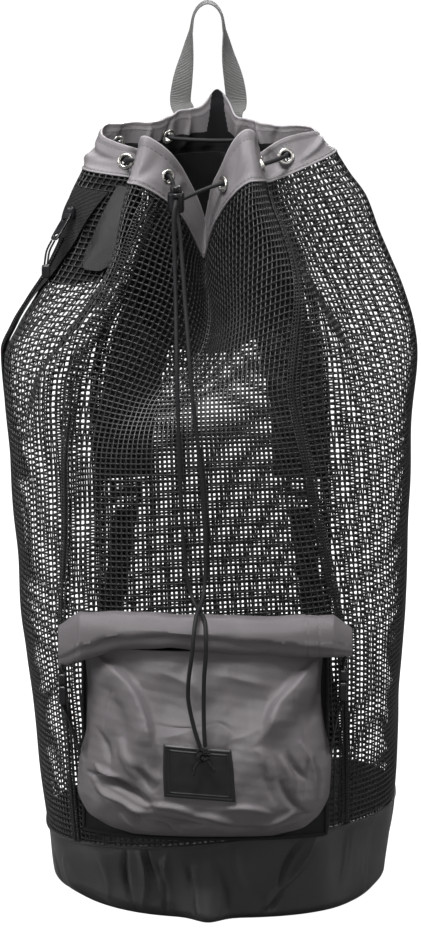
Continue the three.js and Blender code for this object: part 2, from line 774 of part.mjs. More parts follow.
addPiece('haul_loop', webbingSolid(haulStations(), haulWidth, haulThickness), haulColour, 0.7);

// Flat stretches of the body's front and back, where no gather reaches: the point at a place across and
// a height, moved out level by a distance

function levelDepth(across, height) {
  const up = height / mouthHeight;
  const wide = readRows(sections, 'up', 'wide', up) * bodyHalfWidth;
  const deep = readRows(sections, 'up', 'deep', up) * bodyHalfDepth;
  const shift = readRows(sections, 'up', 'shift', up) * bodyHalfWidth;
  const share = Math.min(0.98, Math.abs(across - shift) / wide);
  return deep * Math.pow(1 - Math.pow(share, bodySquareness), 1 / bodySquareness);
}

function facePoint(side, across, height, distance) {
  const step = 0.5;
  const slope = (levelDepth(across + step, height) - levelDepth(across - step, height)) / (2 * step);
  const out = new THREE.Vector3(-slope, side, 0).normalize();
  return new THREE.Vector3(across, side * levelDepth(across, height), height).addScaledVector(out, distance);
}

// Pocket: a backing on the net and a pouch whose open side faces it

const pocketMiddle = -8;
const pocketFloor = 95;
const backingFloor = 92;
const backingStandOff = 1.5;
const pouchStandOff = backingStandOff + backingThickness + 1.6;

function backingSheet(distance) {
  const rows = 6;
  const columns = 10;
  return Array.from({ length: rows + 1 }, (_, row) => Array.from({ length: columns + 1 }, (__, column) => (
    facePoint(-1, pocketMiddle + mix(-backingHalfWidth, backingHalfWidth, column / columns),
      backingFloor + backingHeight * row / rows, distance))));
}
addPiece('pocket_backing', sheetSolid(backingSheet(backingStandOff + backingThickness),
  backingSheet(backingStandOff), false), webbingColour, 0.7);

// Pouch rows from its floor to under the roll: up is a share of pocketHeight, left and right are shares
// of pocketHalfWidth, and deep is a share of pocketDepth.
const pouchRows = [
  { up: 0.00, left: 0.60, right: 0.58, deep: 0.03 },
  { up: 0.04, left: 0.80, right: 0.78, deep: 0.42 },
  { up: 0.12, left: 0.96, right: 0.94, deep: 0.80 },
  { up: 0.24, left: 1.02, right: 1.01, deep: 0.97 },
  { up: 0.42, left: 1.00, right: 1.02, deep: 1.00 },
  { up: 0.60, left: 0.95, right: 0.97, deep: 0.92 },
  { up: 0.80, left: 0.95, right: 0.94, deep: 0.74 },
  { up: 1.00, left: 0.98, right: 0.96, deep: 0.58 },
];
const pouchRoundness = 3;
const pouchColumns = 12;

// Point of the pouch: across goes from -1 at its left edge to 1 at its right edge, share goes up.
function pouchPoint(across, share) {
  const side = readRows(pouchRows, 'up', across < 0 ? 'left' : 'right', share) * pocketHalfWidth;
  const deep = readRows(pouchRows, 'up', 'deep', share) * pocketDepth;
  const bulge = Math.sqrt(Math.max(0, 1 - Math.pow(Math.min(1, Math.abs(across)), pouchRoundness)));
  return facePoint(-1, pocketMiddle + across * side, pocketFloor + share * pocketHeight, pouchStandOff + deep * bulge);
}

function pouchSheet(inwards) {
  const shares = pouchRows.map((row) => row.up);
  return shares.map((share) => Array.from({ length: pouchColumns + 1 }, (_, column) => {
    const across = Math.sin(Math.PI * (column / pouchColumns - 0.5));
    const step = 0.004;
    const ahead = pouchPoint(Math.min(1, across + step), share);
    const behind = pouchPoint(Math.max(-1, across - step), share);
    const inside = new THREE.Vector3(behind.y - ahead.y, ahead.x - behind.x, 0).normalize();
    return pouchPoint(across, share).addScaledVector(inside, inwards);
  }));
}
addPiece('pocket_front', sheetSolid(pouchSheet(0), pouchSheet(pocketWall), false), pocketColour, 0.5);

// Roll rows from its left end to its right end: along is a share of rollHalfLength, rise and tall are
// shares of rollHalfHeight, and deep is a share of rollHalfDepth.
const rollRows = [
  { along: -1.00, rise: -0.72, tall: 0.95, deep: 0.50 },
  { along: -0.85, rise: -0.10, tall: 1.10, deep: 0.80 },
  { along: -0.60, rise: 0.15, tall: 0.92, deep: 0.95 },
  { along: -0.25, rise: 0.20, tall: 0.82, deep: 1.00 },
  { along: 0.10, rise: 0.02, tall: 0.90, deep: 1.00 },
  { along: 0.50, rise: -0.08, tall: 0.96, deep: 0.95 },
  { along: 0.87, rise: -0.12, tall: 0.98, deep: 0.80 },
  { along: 1.00, rise: -0.50, tall: 0.60, deep: 0.50 },
];
const rollSides = 12;
const rollSquareness = 2.6;
const rollHeight = pocketFloor + pocketHeight + rollHalfHeight * 1.34;

function rollRing({ along, rise, tall, deep }) {
  const across = pocketMiddle + along * rollHalfLength;
  const height = rollHeight + rise * rollHalfHeight;
  const stand = backingStandOff + backingThickness + 2 * clearance + rollHalfDepth * deep;
  const middle = facePoint(-1, pocketMiddle + 0.72 * (across - pocketMiddle), height, 0);
  return Array.from({ length: rollSides }, (_, side) => {
    const turn = 2 * Math.PI * side / rollSides;
    const round = (value) => Math.sign(value) * Math.pow(Math.abs(value), 2 / rollSquareness);
    return new THREE.Vector3(across, middle.y - stand - round(Math.cos(turn)) * deep * rollHalfDepth,
      height + round(Math.sin(turn)) * tall * rollHalfHeight);
  });
}
addPiece('pocket_roll', loftSolid(rollRows.map(rollRing)), pocketColour, 0.5);

// Patch: a plate that follows the pouch, with a raised border

const patchLift = clearance;
const patchCentre = { across: -0.04, share: 0.42 };

function patchSheet(distance) {
  const halfAcross = patchWidth / 2 / pocketHalfWidth;
  const halfShare = patchHeight / 2 / pocketHeight;
  const columns = 4;
  const rows = 3;
  return Array.from({ length: rows + 1 }, (_, row) => Array.from({ length: columns + 1 }, (__, column) => {
    const across = patchCentre.across + mix(-halfAcross, halfAcross, column / columns);
    const share = patchCentre.share + mix(-halfShare, halfShare, row / rows);
    return pouchPoint(across, share).add(new THREE.Vector3(0, -distance, 0));
  }));
}
const patchStandOff = patchLift + 0.6;
addPiece('pocket_patch', sheetSolid(patchSheet(patchStandOff + patchThickness), patchSheet(patchStandOff), false),
  0x121213, 0.5);

// Straps and buckles at the two ends of the roll: a strap down from the roll to a buckle, and one from
// the buckle to the pouch's side. Each place is across, forward of the body's widest front, and up.

const sideFastenings = [
  { name: 'left', top: [-156, 0, 283.4], buckle: [-155, -1, 257], low: [-151.5, -5, 230], foot: [-137.6, -8, 184] },
  { name: 'right', top: [136, 2, 295.2], buckle: [134, 2, 262], low: [130.5, -2, 234], foot: [121.2, -5, 186] },
];
const sideBuckleSize = { thick: 8, deep: 25, tall: 34 };

function strapBetween(points, width, thickness) {
  const path = new THREE.CatmullRomCurve3(points);
  const steps = 4 * (points.length - 1);
  const across = new THREE.Vector3(0, 1, 0);
  return webbingSolid(Array.from({ length: steps + 1 }, (_, step) => {
    const along = path.getTangent(step / steps);
    const out = new THREE.Vector3().crossVectors(across, along).normalize();
    return { middle: path.getPoint(step / steps), across, out };
  }), width, thickness);
}

sideFastenings.forEach(({ name, top, buckle, low, foot }) => {
  const [topPlace, bucklePlace, lowPlace, footPlace] = [top, buckle, low, foot].map(([across, forward, up]) => (
    new THREE.Vector3(across, -bodyHalfDepth - forward, up)));
  const { thick, deep, tall } = sideBuckleSize;
  const upTo = bucklePlace.clone().setZ(bucklePlace.z + tall / 2 + clearance);
  const downFrom = bucklePlace.clone().setZ(bucklePlace.z - tall / 2 - clearance);
  addPiece(`roll_strap_${name}`, strapBetween([topPlace, upTo], pocketStrapWidth, pocketStrapThickness),
    webbingColour, 0.75);
  const socketTall = tall * 0.62;
  const socketPlace = bucklePlace.clone().setZ(bucklePlace.z - (tall - socketTall) / 2);
  const window = boxAt(socketPlace, 2 * thick, deep * 0.5, socketTall * 0.45);
  const cavity = boxAt(socketPlace.clone().setZ(socketPlace.z + 3), thick * 0.55, deep * 0.84, socketTall);
  addPiece(`buckle_socket_${name}`, geometryFrom(manifoldOf(boxAt(socketPlace, thick, deep, socketTall))
    .subtract(manifoldOf(cavity)).subtract(manifoldOf(window))), plasticColour, 0.35);
  const prongTall = tall - socketTall - clearance;
  const prongPlace = bucklePlace.clone().setZ(bucklePlace.z + tall / 2 - prongTall / 2);
  const tongueTall = socketTall * 0.6;
  const tonguePlace = prongPlace.clone().setZ(prongPlace.z - prongTall / 2 - tongueTall / 2 + 1);
  addPiece(`buckle_prongs_${name}`, geometryFrom(manifoldOf(boxAt(prongPlace, thick, deep, prongTall))
    .add(manifoldOf(boxAt(tonguePlace, thick * 0.4, deep * 0.7, tongueTall + 1)))), plasticColour, 0.35);
  addPiece(`pocket_strap_${name}`, strapBetween([downFrom, lowPlace, footPlace], pocketStrapWidth,
    pocketStrapThickness), webbingColour, 0.75);
});

// Side zip: a tape with teeth down the left panel, a slider, its tab, cord and end, and a cloth garage

const zipAngle = { top: -78, low: -143 };
const zipSpan = { low: 0.5, top: 0.975 };
const zipSlideAt = 0.94;
const zipRowShare = 0.04;
const zipTeethTop = zipSpan.low + 10 * zipRowShare;

function zipSheet(width, distance, low, top, angleShift = 0) {
  const rows = Math.ceil((top - low) / zipRowShare - 0.01);
  return Array.from({ length: rows + 1 }, (_, row) => {
    const share = Math.min(top, low + row * zipRowShare);
    const angle = mix(zipAngle.low, zipAngle.top, share) + angleShift;
    const radius = netPoint(angle, share).setZ(0).length();
    const half = THREE.MathUtils.radToDeg(width / 2 / radius);
    return [-half, 0, half].map((turn) => offsetPoint(netPoint, angle + turn, share, distance));
  });
}
const zipTapeLift = 4.9;
const zipTeethLift = zipTapeLift + zipTapeThickness + clearance + 0.2;
addPiece('zip_tape', sheetSolid(zipSheet(zipTapeWidth, zipTapeLift + zipTapeThickness, zipSpan.low, zipSpan.top),
  zipSheet(zipTapeWidth, zipTapeLift, zipSpan.low, zipSpan.top), false), webbingColour, 0.8);
addPiece('zip_teeth', sheetSolid(
  zipSheet(zipTeethWidth, zipTeethLift + zipTeethThickness, zipSpan.low, zipTeethTop),
  zipSheet(zipTeethWidth, zipTeethLift, zipSpan.low, zipTeethTop), false), plasticColour, 0.45);

const slideAngle = mix(zipAngle.low, zipAngle.top, zipSlideAt);
const slideOut = levelOut(netPoint, slideAngle, zipSlideAt);
const slideSize = { out: 6, across: 9, tall: 13 };
const slideLift = zipTapeLift + zipTapeThickness + clearance + slideSize.out / 2;
const slidePlace = offsetPoint(netPoint, slideAngle, zipSlideAt, slideLift + 0.6);

function turnedBox(place, alongX, sizeX, sizeY, sizeZ) {
  const turn = Math.atan2(alongX.y, alongX.x);
  return new THREE.BoxGeometry(sizeX, sizeY, sizeZ).rotateZ(turn).translate(place.x, place.y, place.z);
}
addPiece('zip_slider', turnedBox(slidePlace, slideOut, slideSize.out, slideSize.across, slideSize.tall),
  plasticColour, 0.4);

const tabStart = slidePlace.clone().addScaledVector(slideOut, slideSize.out / 2 + clearance);
const tabFall = -0.9;
const tabDirection = slideOut.clone().setZ(tabFall).normalize();
const tabEnd = tabStart.clone().addScaledVector(tabDirection, zipTabLength);
const tabSide = new THREE.Vector3().crossVectors(tabDirection, new THREE.Vector3(0, 0, 1)).normalize();

function tabSolid() {
  const face = new THREE.Vector3().crossVectors(tabSide, tabDirection).normalize();
  const half = zipTabThickness / 2;
  const stations = [0.02, 0.3, 0.7, 1].map((share) => (
    { middle: tabStart.clone().lerp(tabEnd, share), across: tabSide, out: face }));
  const blank = manifoldOf(webbingSolid(stations, zipTabWidth, zipTabThickness));
  return geometryFrom([0.25, 0.82].reduce((solid, share) => {
    const centre = tabStart.clone().lerp(tabEnd, share);
    return solid.subtract(manifoldOf(barBetween(centre.clone().addScaledVector(face, -2 * half),
      centre.clone().addScaledVector(face, 2 * half), zipTabWidth * 0.24, 8)));
  }, blank));
}
addPiece('zip_tab', tabSolid(), plasticColour, 0.4);

const pullEndPlace = tabEnd.clone().add(new THREE.Vector3(-8, 0, -33));
const pullEndSize = { across: 9, tall: 14 };
const pullSpread = 1.9;
[-1, 1].forEach((side, index) => {
  const start = tabEnd.clone().addScaledVector(tabDirection, clearance + 0.4).addScaledVector(tabSide, side * pullSpread);
  const end = pullEndPlace.clone().addScaledVector(tabSide, side * pullSpread).setZ(pullEndPlace.z + pullEndSize.tall / 2 + clearance);
  addPiece(`zip_pull_cord_${index + 1}`, barBetween(start, end, zipCordDiameter / 2, 6), webbingColour, 0.7);
});
addPiece('zip_pull_end', turnedBox(pullEndPlace, tabSide, pullEndSize.across, pullEndSize.across * 0.7, pullEndSize.tall),
  plasticColour, 0.4);

const garageSpan = { low: 0.86, top: 0.985 };
const garageWidth = 22;
const garageShift = 14;
const garageLift = 5.0;
addPiece('zip_garage', sheetSolid(
  zipSheet(garageWidth, garageLift + 1.2, garageSpan.low, garageSpan.top, garageShift),
  zipSheet(garageWidth, garageLift, garageSpan.low, garageSpan.top, garageShift), false), baseColour, 0.55);

// Shoulder straps on the back: a pad that stands off the net, webbing down to the base's rim and a
// ladder lock between them

const padTop = { across: 34, height: 742 };
const padLow = { across: 92, height: 400 };
const webbingLow = { across: 128, height: 104 };
const padGap = 1.3;
const webbingLift = 3.4;

[-1, 1].forEach((hand) => {
  const name = hand < 0 ? 'left' : 'right';
  const steps = 12;
  const padStations = Array.from({ length: steps + 1 }, (_, step) => {
    const share = step / steps;
    const across = hand * mix(padTop.across, padLow.across, ease(share));
    const height = mix(padTop.height, padLow.height, share);
    const bulge = strapStandOff * Math.sin(Math.PI * share);
    return facePoint(1, across, height, padGap + strapPadThickness / 2 + bulge);
  });
  const stationsOf = (middles) => middles.map((middle, index) => {
    const along = middles[Math.min(index + 1, middles.length - 1)].clone()
      .sub(middles[Math.max(index - 1, 0)]).normalize();
    const back = facePoint(1, middle.x, middle.z, 1).sub(facePoint(1, middle.x, middle.z, 0));
    const across = new THREE.Vector3().crossVectors(along, back).normalize();
    return { middle, across, out: new THREE.Vector3().crossVectors(across, along).normalize() };
  });
  addPiece(`shoulder_strap_${name}`, webbingSolid(stationsOf(padStations), strapPadWidth, strapPadThickness),
    webbingColour, 0.8);
  const lockHeightZ = padLow.height - 16.7;
  const ladder = facePoint(1, hand * padLow.across, lockHeightZ, padGap + 6);
  const ladderOut = facePoint(1, hand * padLow.across, lockHeightZ, 1)
    .sub(facePoint(1, hand * padLow.across, lockHeightZ, 0));
  const ladderSize = { wide: 34, thick: 5, tall: 28 };
  const frame = manifoldOf(turnedBox(ladder, ladderOut, ladderSize.thick, ladderSize.wide, ladderSize.tall));
  const slots = [-0.26, 0.26].map((place) => manifoldOf(turnedBox(
    ladder.clone().setZ(ladder.z + place * ladderSize.tall), ladderOut, 2 * ladderSize.thick,
    strapWebbingWidth + 1, ladderSize.tall * 0.22)));
  addPiece(`strap_adjuster_${name}`, geometryFrom(slots.reduce((solid, slot) => solid.subtract(slot), frame)),
    plasticColour, 0.35);
  const webbingTop = lockHeightZ - ladderSize.tall / 2 - 2.1;
  const webbingPoints = Array.from({ length: steps + 1 }, (_, step) => {
    const share = step / steps;
    return facePoint(1, hand * mix(padLow.across, webbingLow.across, share),
      mix(webbingTop, webbingLow.height, share), padGap + webbingLift);
  });
  addPiece(`strap_webbing_${name}`, webbingSolid(stationsOf(webbingPoints), strapWebbingWidth,
    strapWebbingThickness), webbingColour, 0.75);
});

export default group;
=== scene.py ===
import bmesh
import bpy
import numpy as np
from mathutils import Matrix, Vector


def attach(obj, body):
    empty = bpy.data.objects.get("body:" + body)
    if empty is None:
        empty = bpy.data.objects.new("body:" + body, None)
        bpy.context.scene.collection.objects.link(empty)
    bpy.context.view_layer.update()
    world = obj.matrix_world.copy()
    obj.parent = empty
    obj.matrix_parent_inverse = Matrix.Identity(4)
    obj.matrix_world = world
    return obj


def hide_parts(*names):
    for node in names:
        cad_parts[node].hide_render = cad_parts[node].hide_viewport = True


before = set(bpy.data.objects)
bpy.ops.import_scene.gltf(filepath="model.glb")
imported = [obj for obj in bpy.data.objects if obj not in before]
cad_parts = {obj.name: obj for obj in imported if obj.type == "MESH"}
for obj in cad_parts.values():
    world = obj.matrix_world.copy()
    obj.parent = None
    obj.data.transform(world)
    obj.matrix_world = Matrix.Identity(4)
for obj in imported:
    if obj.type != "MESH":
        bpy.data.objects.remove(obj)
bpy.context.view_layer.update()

# Units: lengths in this script are millimetres, and piece() turns them into metres.

MM = 0.001
BODY_HALF_WIDTH = 217
BODY_HALF_DEPTH = 165
MOUTH_HEIGHT = 770
BASE_HEIGHT = 86
COLLAR_HEIGHT = 47
BODY_SQUARENESS = 2.5
MOUTH_SQUARENESS = 2.0
GATHER_START = 0.62
GATHER_DRIFT = 30
COLLAR_LEAN = 0.15
BACK_PEAK = 174.5

# Body sections: up, wide, deep, shift.
SECTIONS = np.array([
    (0.00, 0.795, 0.905, 0.034), (0.09, 0.843, 0.935, 0.031), (0.17, 0.874, 0.960, 0.027),
    (0.26, 0.890, 0.985, 0.019), (0.33, 0.917, 1.000, 0.007), (0.40, 0.940, 1.000, 0.002),
    (0.53, 0.954, 1.000, -0.007), (0.60, 0.972, 1.000, -0.014), (0.68, 0.991, 0.995, -0.017),
    (0.74, 1.000, 0.970, -0.012), (0.78, 0.965, 0.925, 0.012), (0.82, 0.897, 0.860, 0.029),
    (0.86, 0.818, 0.785, 0.037), (0.90, 0.762, 0.710, 0.031), (0.94, 0.722, 0.645, 0.011),
    (0.97, 0.663, 0.600, -0.010), (1.00, 0.604, 0.560, -0.017),
])

# Gathers of the mouth: angle, reach, rise.
GATHERS = np.array([
    (-128, 0.76, 0.00), (-88, 1.00, 0.00), (-63, 0.66, -0.10), (-41, 1.14, 0.00), (-27, 0.80, -0.62),
    (-9, 0.40, -1.87), (6, 0.72, -0.90), (24, 1.14, 0.10), (53, 0.66, -0.15), (88, 1.00, 0.40),
    (128, 0.76, 0.00), (178, 1.00, 0.00),
])
GATHERS_ROUND = np.vstack([GATHERS[-1:] - [360, 0, 0], GATHERS, GATHERS[:2] + [360, 0, 0]])
GROMMET_ANGLES = (-108, -73, -52, -31, 11, 40, 66, 108, 147, 216)

# Height of the collar round the mouth: angle, share of COLLAR_HEIGHT.
COLLAR_TOPS = np.array([
    (-180, 1.00), (-160, 1.03), (-128, 0.86), (-100, 0.90), (-84, 0.72), (-63, 0.56), (-52, 0.78),
    (-41, 1.00), (-27, 0.90), (-9, 0.80), (8, 0.90), (24, 1.08), (38, 0.74), (50, 0.60), (66, 0.72),
    (90, 0.42), (108, 0.62), (128, 0.80), (155, 0.88), (170, 1.00), (180, 1.00),
])

# Front seams: up, left angle, right angle.
FRONT_SEAMS = np.array([
    (0.00, -54, 46), (0.30, -52, 43), (0.55, -48, 34), (0.75, -47, 29), (0.90, -41, 33), (1.00, -33, 38),
])
BACK_SEAM = 140


# Numbers and surfaces

def read_rows(keys, values, place):
    """A smooth curve through rows of keys and values. With s the share of the span from one row to the
    next, h its length and m0, m1 the slopes at its ends, the value is v0 (2s^3 - 3s^2 + 1)
    + m0 h (s^3 - 2s^2 + s) + v1 (3s^2 - 2s^3) + m1 h (s^3 - s^2). The slope at a row is the harmonic mean
    of those beside it, and none at a peak or a dip."""
    keys = np.asarray(keys, float)
    values = np.asarray(values, float)
    place = np.clip(place, keys[0], keys[-1])
    spans = np.diff(keys)
    steep = np.diff(values) / spans
    product = steep[:-1] * steep[1:]
    total = np.where(product > 0, steep[:-1] + steep[1:], 1)
    slopes = np.concatenate([steep[:1], np.where(product > 0, 2 * product / total, 0), steep[-1:]])
    row = np.clip(np.searchsorted(keys, place, side="right") - 1, 0, len(spans) - 1)
    span = spans[row]
    share = (place - keys[row]) / span
    square = share * share
    cube = square * share
    return (values[row] * (2 * cube - 3 * square + 1) + slopes[row] * span * (cube - 2 * square + share)
            + values[row + 1] * (3 * square - 2 * cube) + slopes[row + 1] * span * (cube - square))


def ease(share):
    """Smooth step of a share, 3s^2 - 2s^3, with the share held between 0 and 1."""
    share = np.clip(share, 0, 1)
    return share * share * (3 - 2 * share)


def unit(vectors):
    """Vectors scaled to a length of 1."""
    return vectors / np.linalg.norm(vectors, axis=-1, keepdims=True)


def runs(points):
    """Run along a line of points from the first to each of them."""
    return np.concatenate([[0], np.cumsum(np.linalg.norm(np.diff(points, axis=0), axis=-1))])


def signed_power(value, power):
    """The size of a value raised to a power, with the value's sign."""
    return np.sign(value) * np.abs(value) ** power


def base_rim(angle):
    """Height of the base's rim: 86 mm, 18 % more at the right and less at the left, 2 % more at the front."""
    turn = np.radians(angle)
    return BASE_HEIGHT * (1 + 0.18 * np.sin(turn) + 0.02 * np.cos(turn))


def gather_value(column, angle):
    """Reach or rise of the gathers, read smoothly at an angle in a full turn."""
    turned = (angle - GATHERS[0, 0]) % 360 + GATHERS[0, 0]
    return read_rows(GATHERS_ROUND[:, 0], GATHERS_ROUND[:, column], turned)


def section(up):
    """Half width, half depth and sideways shift of the body at a height share, in millimetres."""
    wide, deep, shift = (read_rows(SECTIONS[:, 0], SECTIONS[:, column], up) for column in (1, 2, 3))
    return wide * BODY_HALF_WIDTH, deep * BODY_HALF_DEPTH, shift * BODY_HALF_WIDTH


def body_point(angle, up):
    """Points of the bag's outside at angles from the front and height shares. The section is a
    superellipse of power 2.5 low down and 2 at the mouth, its radius grows by show (reach - 1), and its
    height by show times rise, where show eases from none at 0.62 to all at the mouth."""
    angle, up = np.broadcast_arrays(np.asarray(angle, float), np.asarray(up, float))
    show = ease((up - GATHER_START) / (1 - GATHER_START)) ** 0.9
    front = np.cos(np.radians(angle))
    side = np.sin(np.radians(angle))
    folded = angle - GATHER_DRIFT * np.sin(np.radians(2 * angle)) * np.maximum(0, front) * (1 - show)
    wide, deep, shift = section(up)
    power = BODY_SQUARENESS + (MOUTH_SQUARENESS - BODY_SQUARENESS) * show
    radius = ((np.abs(side) / wide) ** power + (np.abs(front) / deep) ** power) ** (-1 / power)
    radius = radius * (1 + show * (gather_value(1, folded) - 1))
    height = up * MOUTH_HEIGHT + show * gather_value(2, folded) * COLLAR_HEIGHT
    return np.stack([shift + radius * side, -radius * front, height], axis=-1)


def net_point(angle, share):
    """Points of the net at angles and shares of the way from the base's rim to the mouth."""
    low = base_rim(angle) / MOUTH_HEIGHT
    return body_point(angle, low + (1 - low) * share)


def collar_point(angle, share):
    """Points of the collar: the seam drawn in by 15 % of the share, raised by the share of the collar's
    height there, and by 22 mm times the share squared in a bell 9 degrees wide at the back's peak."""
    angle, share = np.broadcast_arrays(np.asarray(angle, float), np.asarray(share, float))
    seam = body_point(angle, 1.0)
    turn = (angle - BACK_PEAK + 540) % 360 - 180
    peak = 22 * np.exp(-(turn / 9) ** 2)
    lean = (1 - COLLAR_LEAN * share)[..., None]
    tall = read_rows(COLLAR_TOPS[:, 0], COLLAR_TOPS[:, 1], (angle + 540) % 360 - 180) * COLLAR_HEIGHT
    lift = share * tall + share * share * peak
    return seam * np.array([1, 1, 0]) * lean + (seam[..., 2] + lift)[..., None] * np.array([0, 0, 1])


# Lower edge of the base: angle, and how much higher its rounding reaches.
HEM_LIFTS = np.array([(-180, 4), (-90, 8), (-55, 16), (-20, 4), (0, 0), (45, 3), (85, 15), (130, 6), (180, 4)])


def base_point(angle, share):
    """Points of the base's wall: the body's outside, pulled in under a rounded lower edge of 9 to 25 mm,
    and drawn out by up to 16 mm in a bell 7 degrees wide at the front's tip."""
    angle, share = np.broadcast_arrays(np.asarray(angle, float), np.asarray(share, float))
    turned = (angle + 540) % 360 - 180
    height = share * base_rim(angle)
    point = body_point(angle, height / MOUTH_HEIGHT)
    round_edge = 9 + read_rows(HEM_LIFTS[:, 0], HEM_LIFTS[:, 1], turned)
    under = np.maximum(0, 1 - height / round_edge)
    pull = 1 - (0.05 + 0.004 * (round_edge - 9)) * under * under
    tip = 16 * np.exp(-((turned + 5) / 7) ** 2) * (1 - share) ** 2
    return np.stack([point[..., 0] * pull, point[..., 1] * pull - tip, height], axis=-1)


def out_of(surface, angle, share):
    """Unit direction out of a surface: the cross product of its steps round and up."""
    round_step = surface(angle + 0.01, share) - surface(angle - 0.01, share)
    rise_step = surface(angle, share + 0.01) - surface(angle, share - 0.01)
    return unit(np.cross(round_step, rise_step))


def level_out(surface, angle, share):
    """Unit level direction out of a surface: its step round, turned a quarter."""
    step = surface(angle + 0.05, share) - surface(angle - 0.05, share)
    return unit(np.stack([step[..., 1], -step[..., 0], 0 * step[..., 0]], axis=-1))


def off_net(angle, share, distance):
    """Points a level distance out of the net."""
    return net_point(angle, share) + level_out(net_point, angle, share) * distance


def ripples(u, v, seed, count=6, length=60):
    """Smooth seeded unevenness between about -1 and 1: a sum of waves of random direction and phase, with
    lengths from 0.6 to 1.8 of the given one."""
    chance = np.random.default_rng(seed)
    total = 0
    for turn, phase, scale in zip(chance.uniform(0, np.pi, count), chance.uniform(0, 6.3, count),
                                  chance.uniform(0.6, 1.8, count)):
        along = (u * np.cos(turn) + v * np.sin(turn)) / (length * scale)
        total = total + np.sin(2 * np.pi * along + phase)
    return total / np.sqrt(count)


def bowed(start, end, bow, steps=18):
    """A line from start to end that bows sideways: the straight line plus the bow times its length, turned
    a quarter, times 4 s (1 - s)."""
    share = np.linspace(0, 1, steps)[:, None]
    run = np.subtract(end, start)
    return np.add(start, share * run) + 4 * share * (1 - share) * bow * np.array([-run[1], run[0]])


def nearest_on(u, v, line):
    """Distance to a line of points, the share of the way along it, and on which side: 1 left, -1 right.
    From the nearest point of the line, the place is moved along the line's step there by up to half a step
    either way, which is the dot product with the step over its length squared."""
    gap = (u[..., None] - line[:, 0]) ** 2 + (v[..., None] - line[:, 1]) ** 2
    near = gap.argmin(axis=-1)
    step = np.gradient(line, axis=0)
    step_u, step_v = step[near, 0], step[near, 1]
    far_u = u - line[near, 0]
    far_v = v - line[near, 1]
    moved = np.clip((far_u * step_u + far_v * step_v) / (step_u ** 2 + step_v ** 2), -0.5, 0.5)
    share = np.clip((near + moved) / (len(line) - 1), 0, 1)
    side = np.sign(step_u * far_v - step_v * far_u)
    return np.hypot(far_u - moved * step_u, far_v - moved * step_v), share, side


def creases(u, v, rows):
    """Sum of creases, each given by two ends, a width and a height. Each is the height times
    exp(-(distance / width)^2) from a line that bows a little to either side in turn, and its height and
    width swell with the sine of the way along it."""
    u, v = np.broadcast_arrays(np.asarray(u, float), np.asarray(v, float))
    total = np.zeros(u.shape)
    for order, (from_u, from_v, to_u, to_v, width, height) in enumerate(rows):
        line = bowed((from_u, from_v), (to_u, to_v), 0.09 if order % 2 else -0.09)
        close = (np.abs(u - line[:, 0].mean()) < np.ptp(line[:, 0]) / 2 + 3 * width + 4)
        close &= np.abs(v - line[:, 1].mean()) < np.ptp(line[:, 1]) / 2 + 3 * width + 4
        gap, share, _ = nearest_on(u[close], v[close], line)
        swell = np.sin(np.pi * np.clip(share, 0.02, 0.98)) ** 0.7
        total[close] += height * swell * np.exp(-(gap / (width * (0.6 + 0.5 * swell))) ** 2)
    return total


def wing_fold(u, v, line, height, hand):
    """A fold that stands out on one side of a smooth line: the height, falling off as
    exp(-(distance / 22)^2) outside the line and as exp(-(distance / 3.2)^2) inside it, and easing in and out
    along the line."""
    gap, share, side = nearest_on(u, v, catmull(line, 10))
    wide = np.where(side * hand > 0, 22, 3.2)
    return height * ease(share * 3 + 0.1) * ease((1 - share) * 3) * np.exp(-(gap / wide) ** 2)


# Meshes: a part is a dict of points in millimetres, faces, and a texture place for each point

def part(points, faces, uv=None, shade=0):
    """One part of a piece: points (n, 3), a list of face arrays, places (n, 2) and a finish number."""
    points = np.asarray(points, float).reshape(-1, 3)
    faces = [np.asarray(group, int) for group in (faces if isinstance(faces, list) else [faces])]
    uv = points[:, [0, 2]] if uv is None else np.asarray(uv, float).reshape(-1, 2)
    return {"points": points, "faces": faces, "uv": uv, "shade": shade}


def grid_faces(rows, columns, wraps=False, flip=False):
    """Four-cornered faces of a grid of points, row by row. A grid that wraps joins its last column to its
    first."""
    spans = columns if wraps else columns - 1
    row, column = np.meshgrid(np.arange(rows - 1), np.arange(spans), indexing="ij")
    after = (column + 1) % columns
    corners = [row * columns + column, row * columns + after, (row + 1) * columns + after,
               (row + 1) * columns + column]
    faces = np.stack(corners, axis=-1).reshape(-1, 4)
    return faces[:, ::-1] if flip else faces


def lengths_uv(points):
    """Texture places of a grid of points: the run along its middle row and up each middle column."""
    along = runs(points[points.shape[0] // 2])
    rise = runs(points[:, points.shape[1] // 2])
    return np.stack(np.broadcast_arrays(along[None, :], rise[:, None]), axis=-1)


def grid_out(points, wraps=False):
    """Unit directions out of a grid of points: the cross product of its steps along and up."""
    if wraps:
        along = np.roll(points, -1, axis=1) - np.roll(points, 1, axis=1)
    else:
        along = np.gradient(points, axis=1)
    out = np.cross(along, np.gradient(points, axis=0))
    return out / np.maximum(np.linalg.norm(out, axis=-1, keepdims=True), 1e-9)


def round_loop(rows, columns):
    """Numbers of a grid's points in order round its edge."""
    count = rows * columns
    return np.concatenate([np.arange(columns), np.arange(2, rows) * columns - 1,
                           np.arange(count - 1, count - columns - 1, -1), np.arange(rows - 2, 0, -1) * columns])


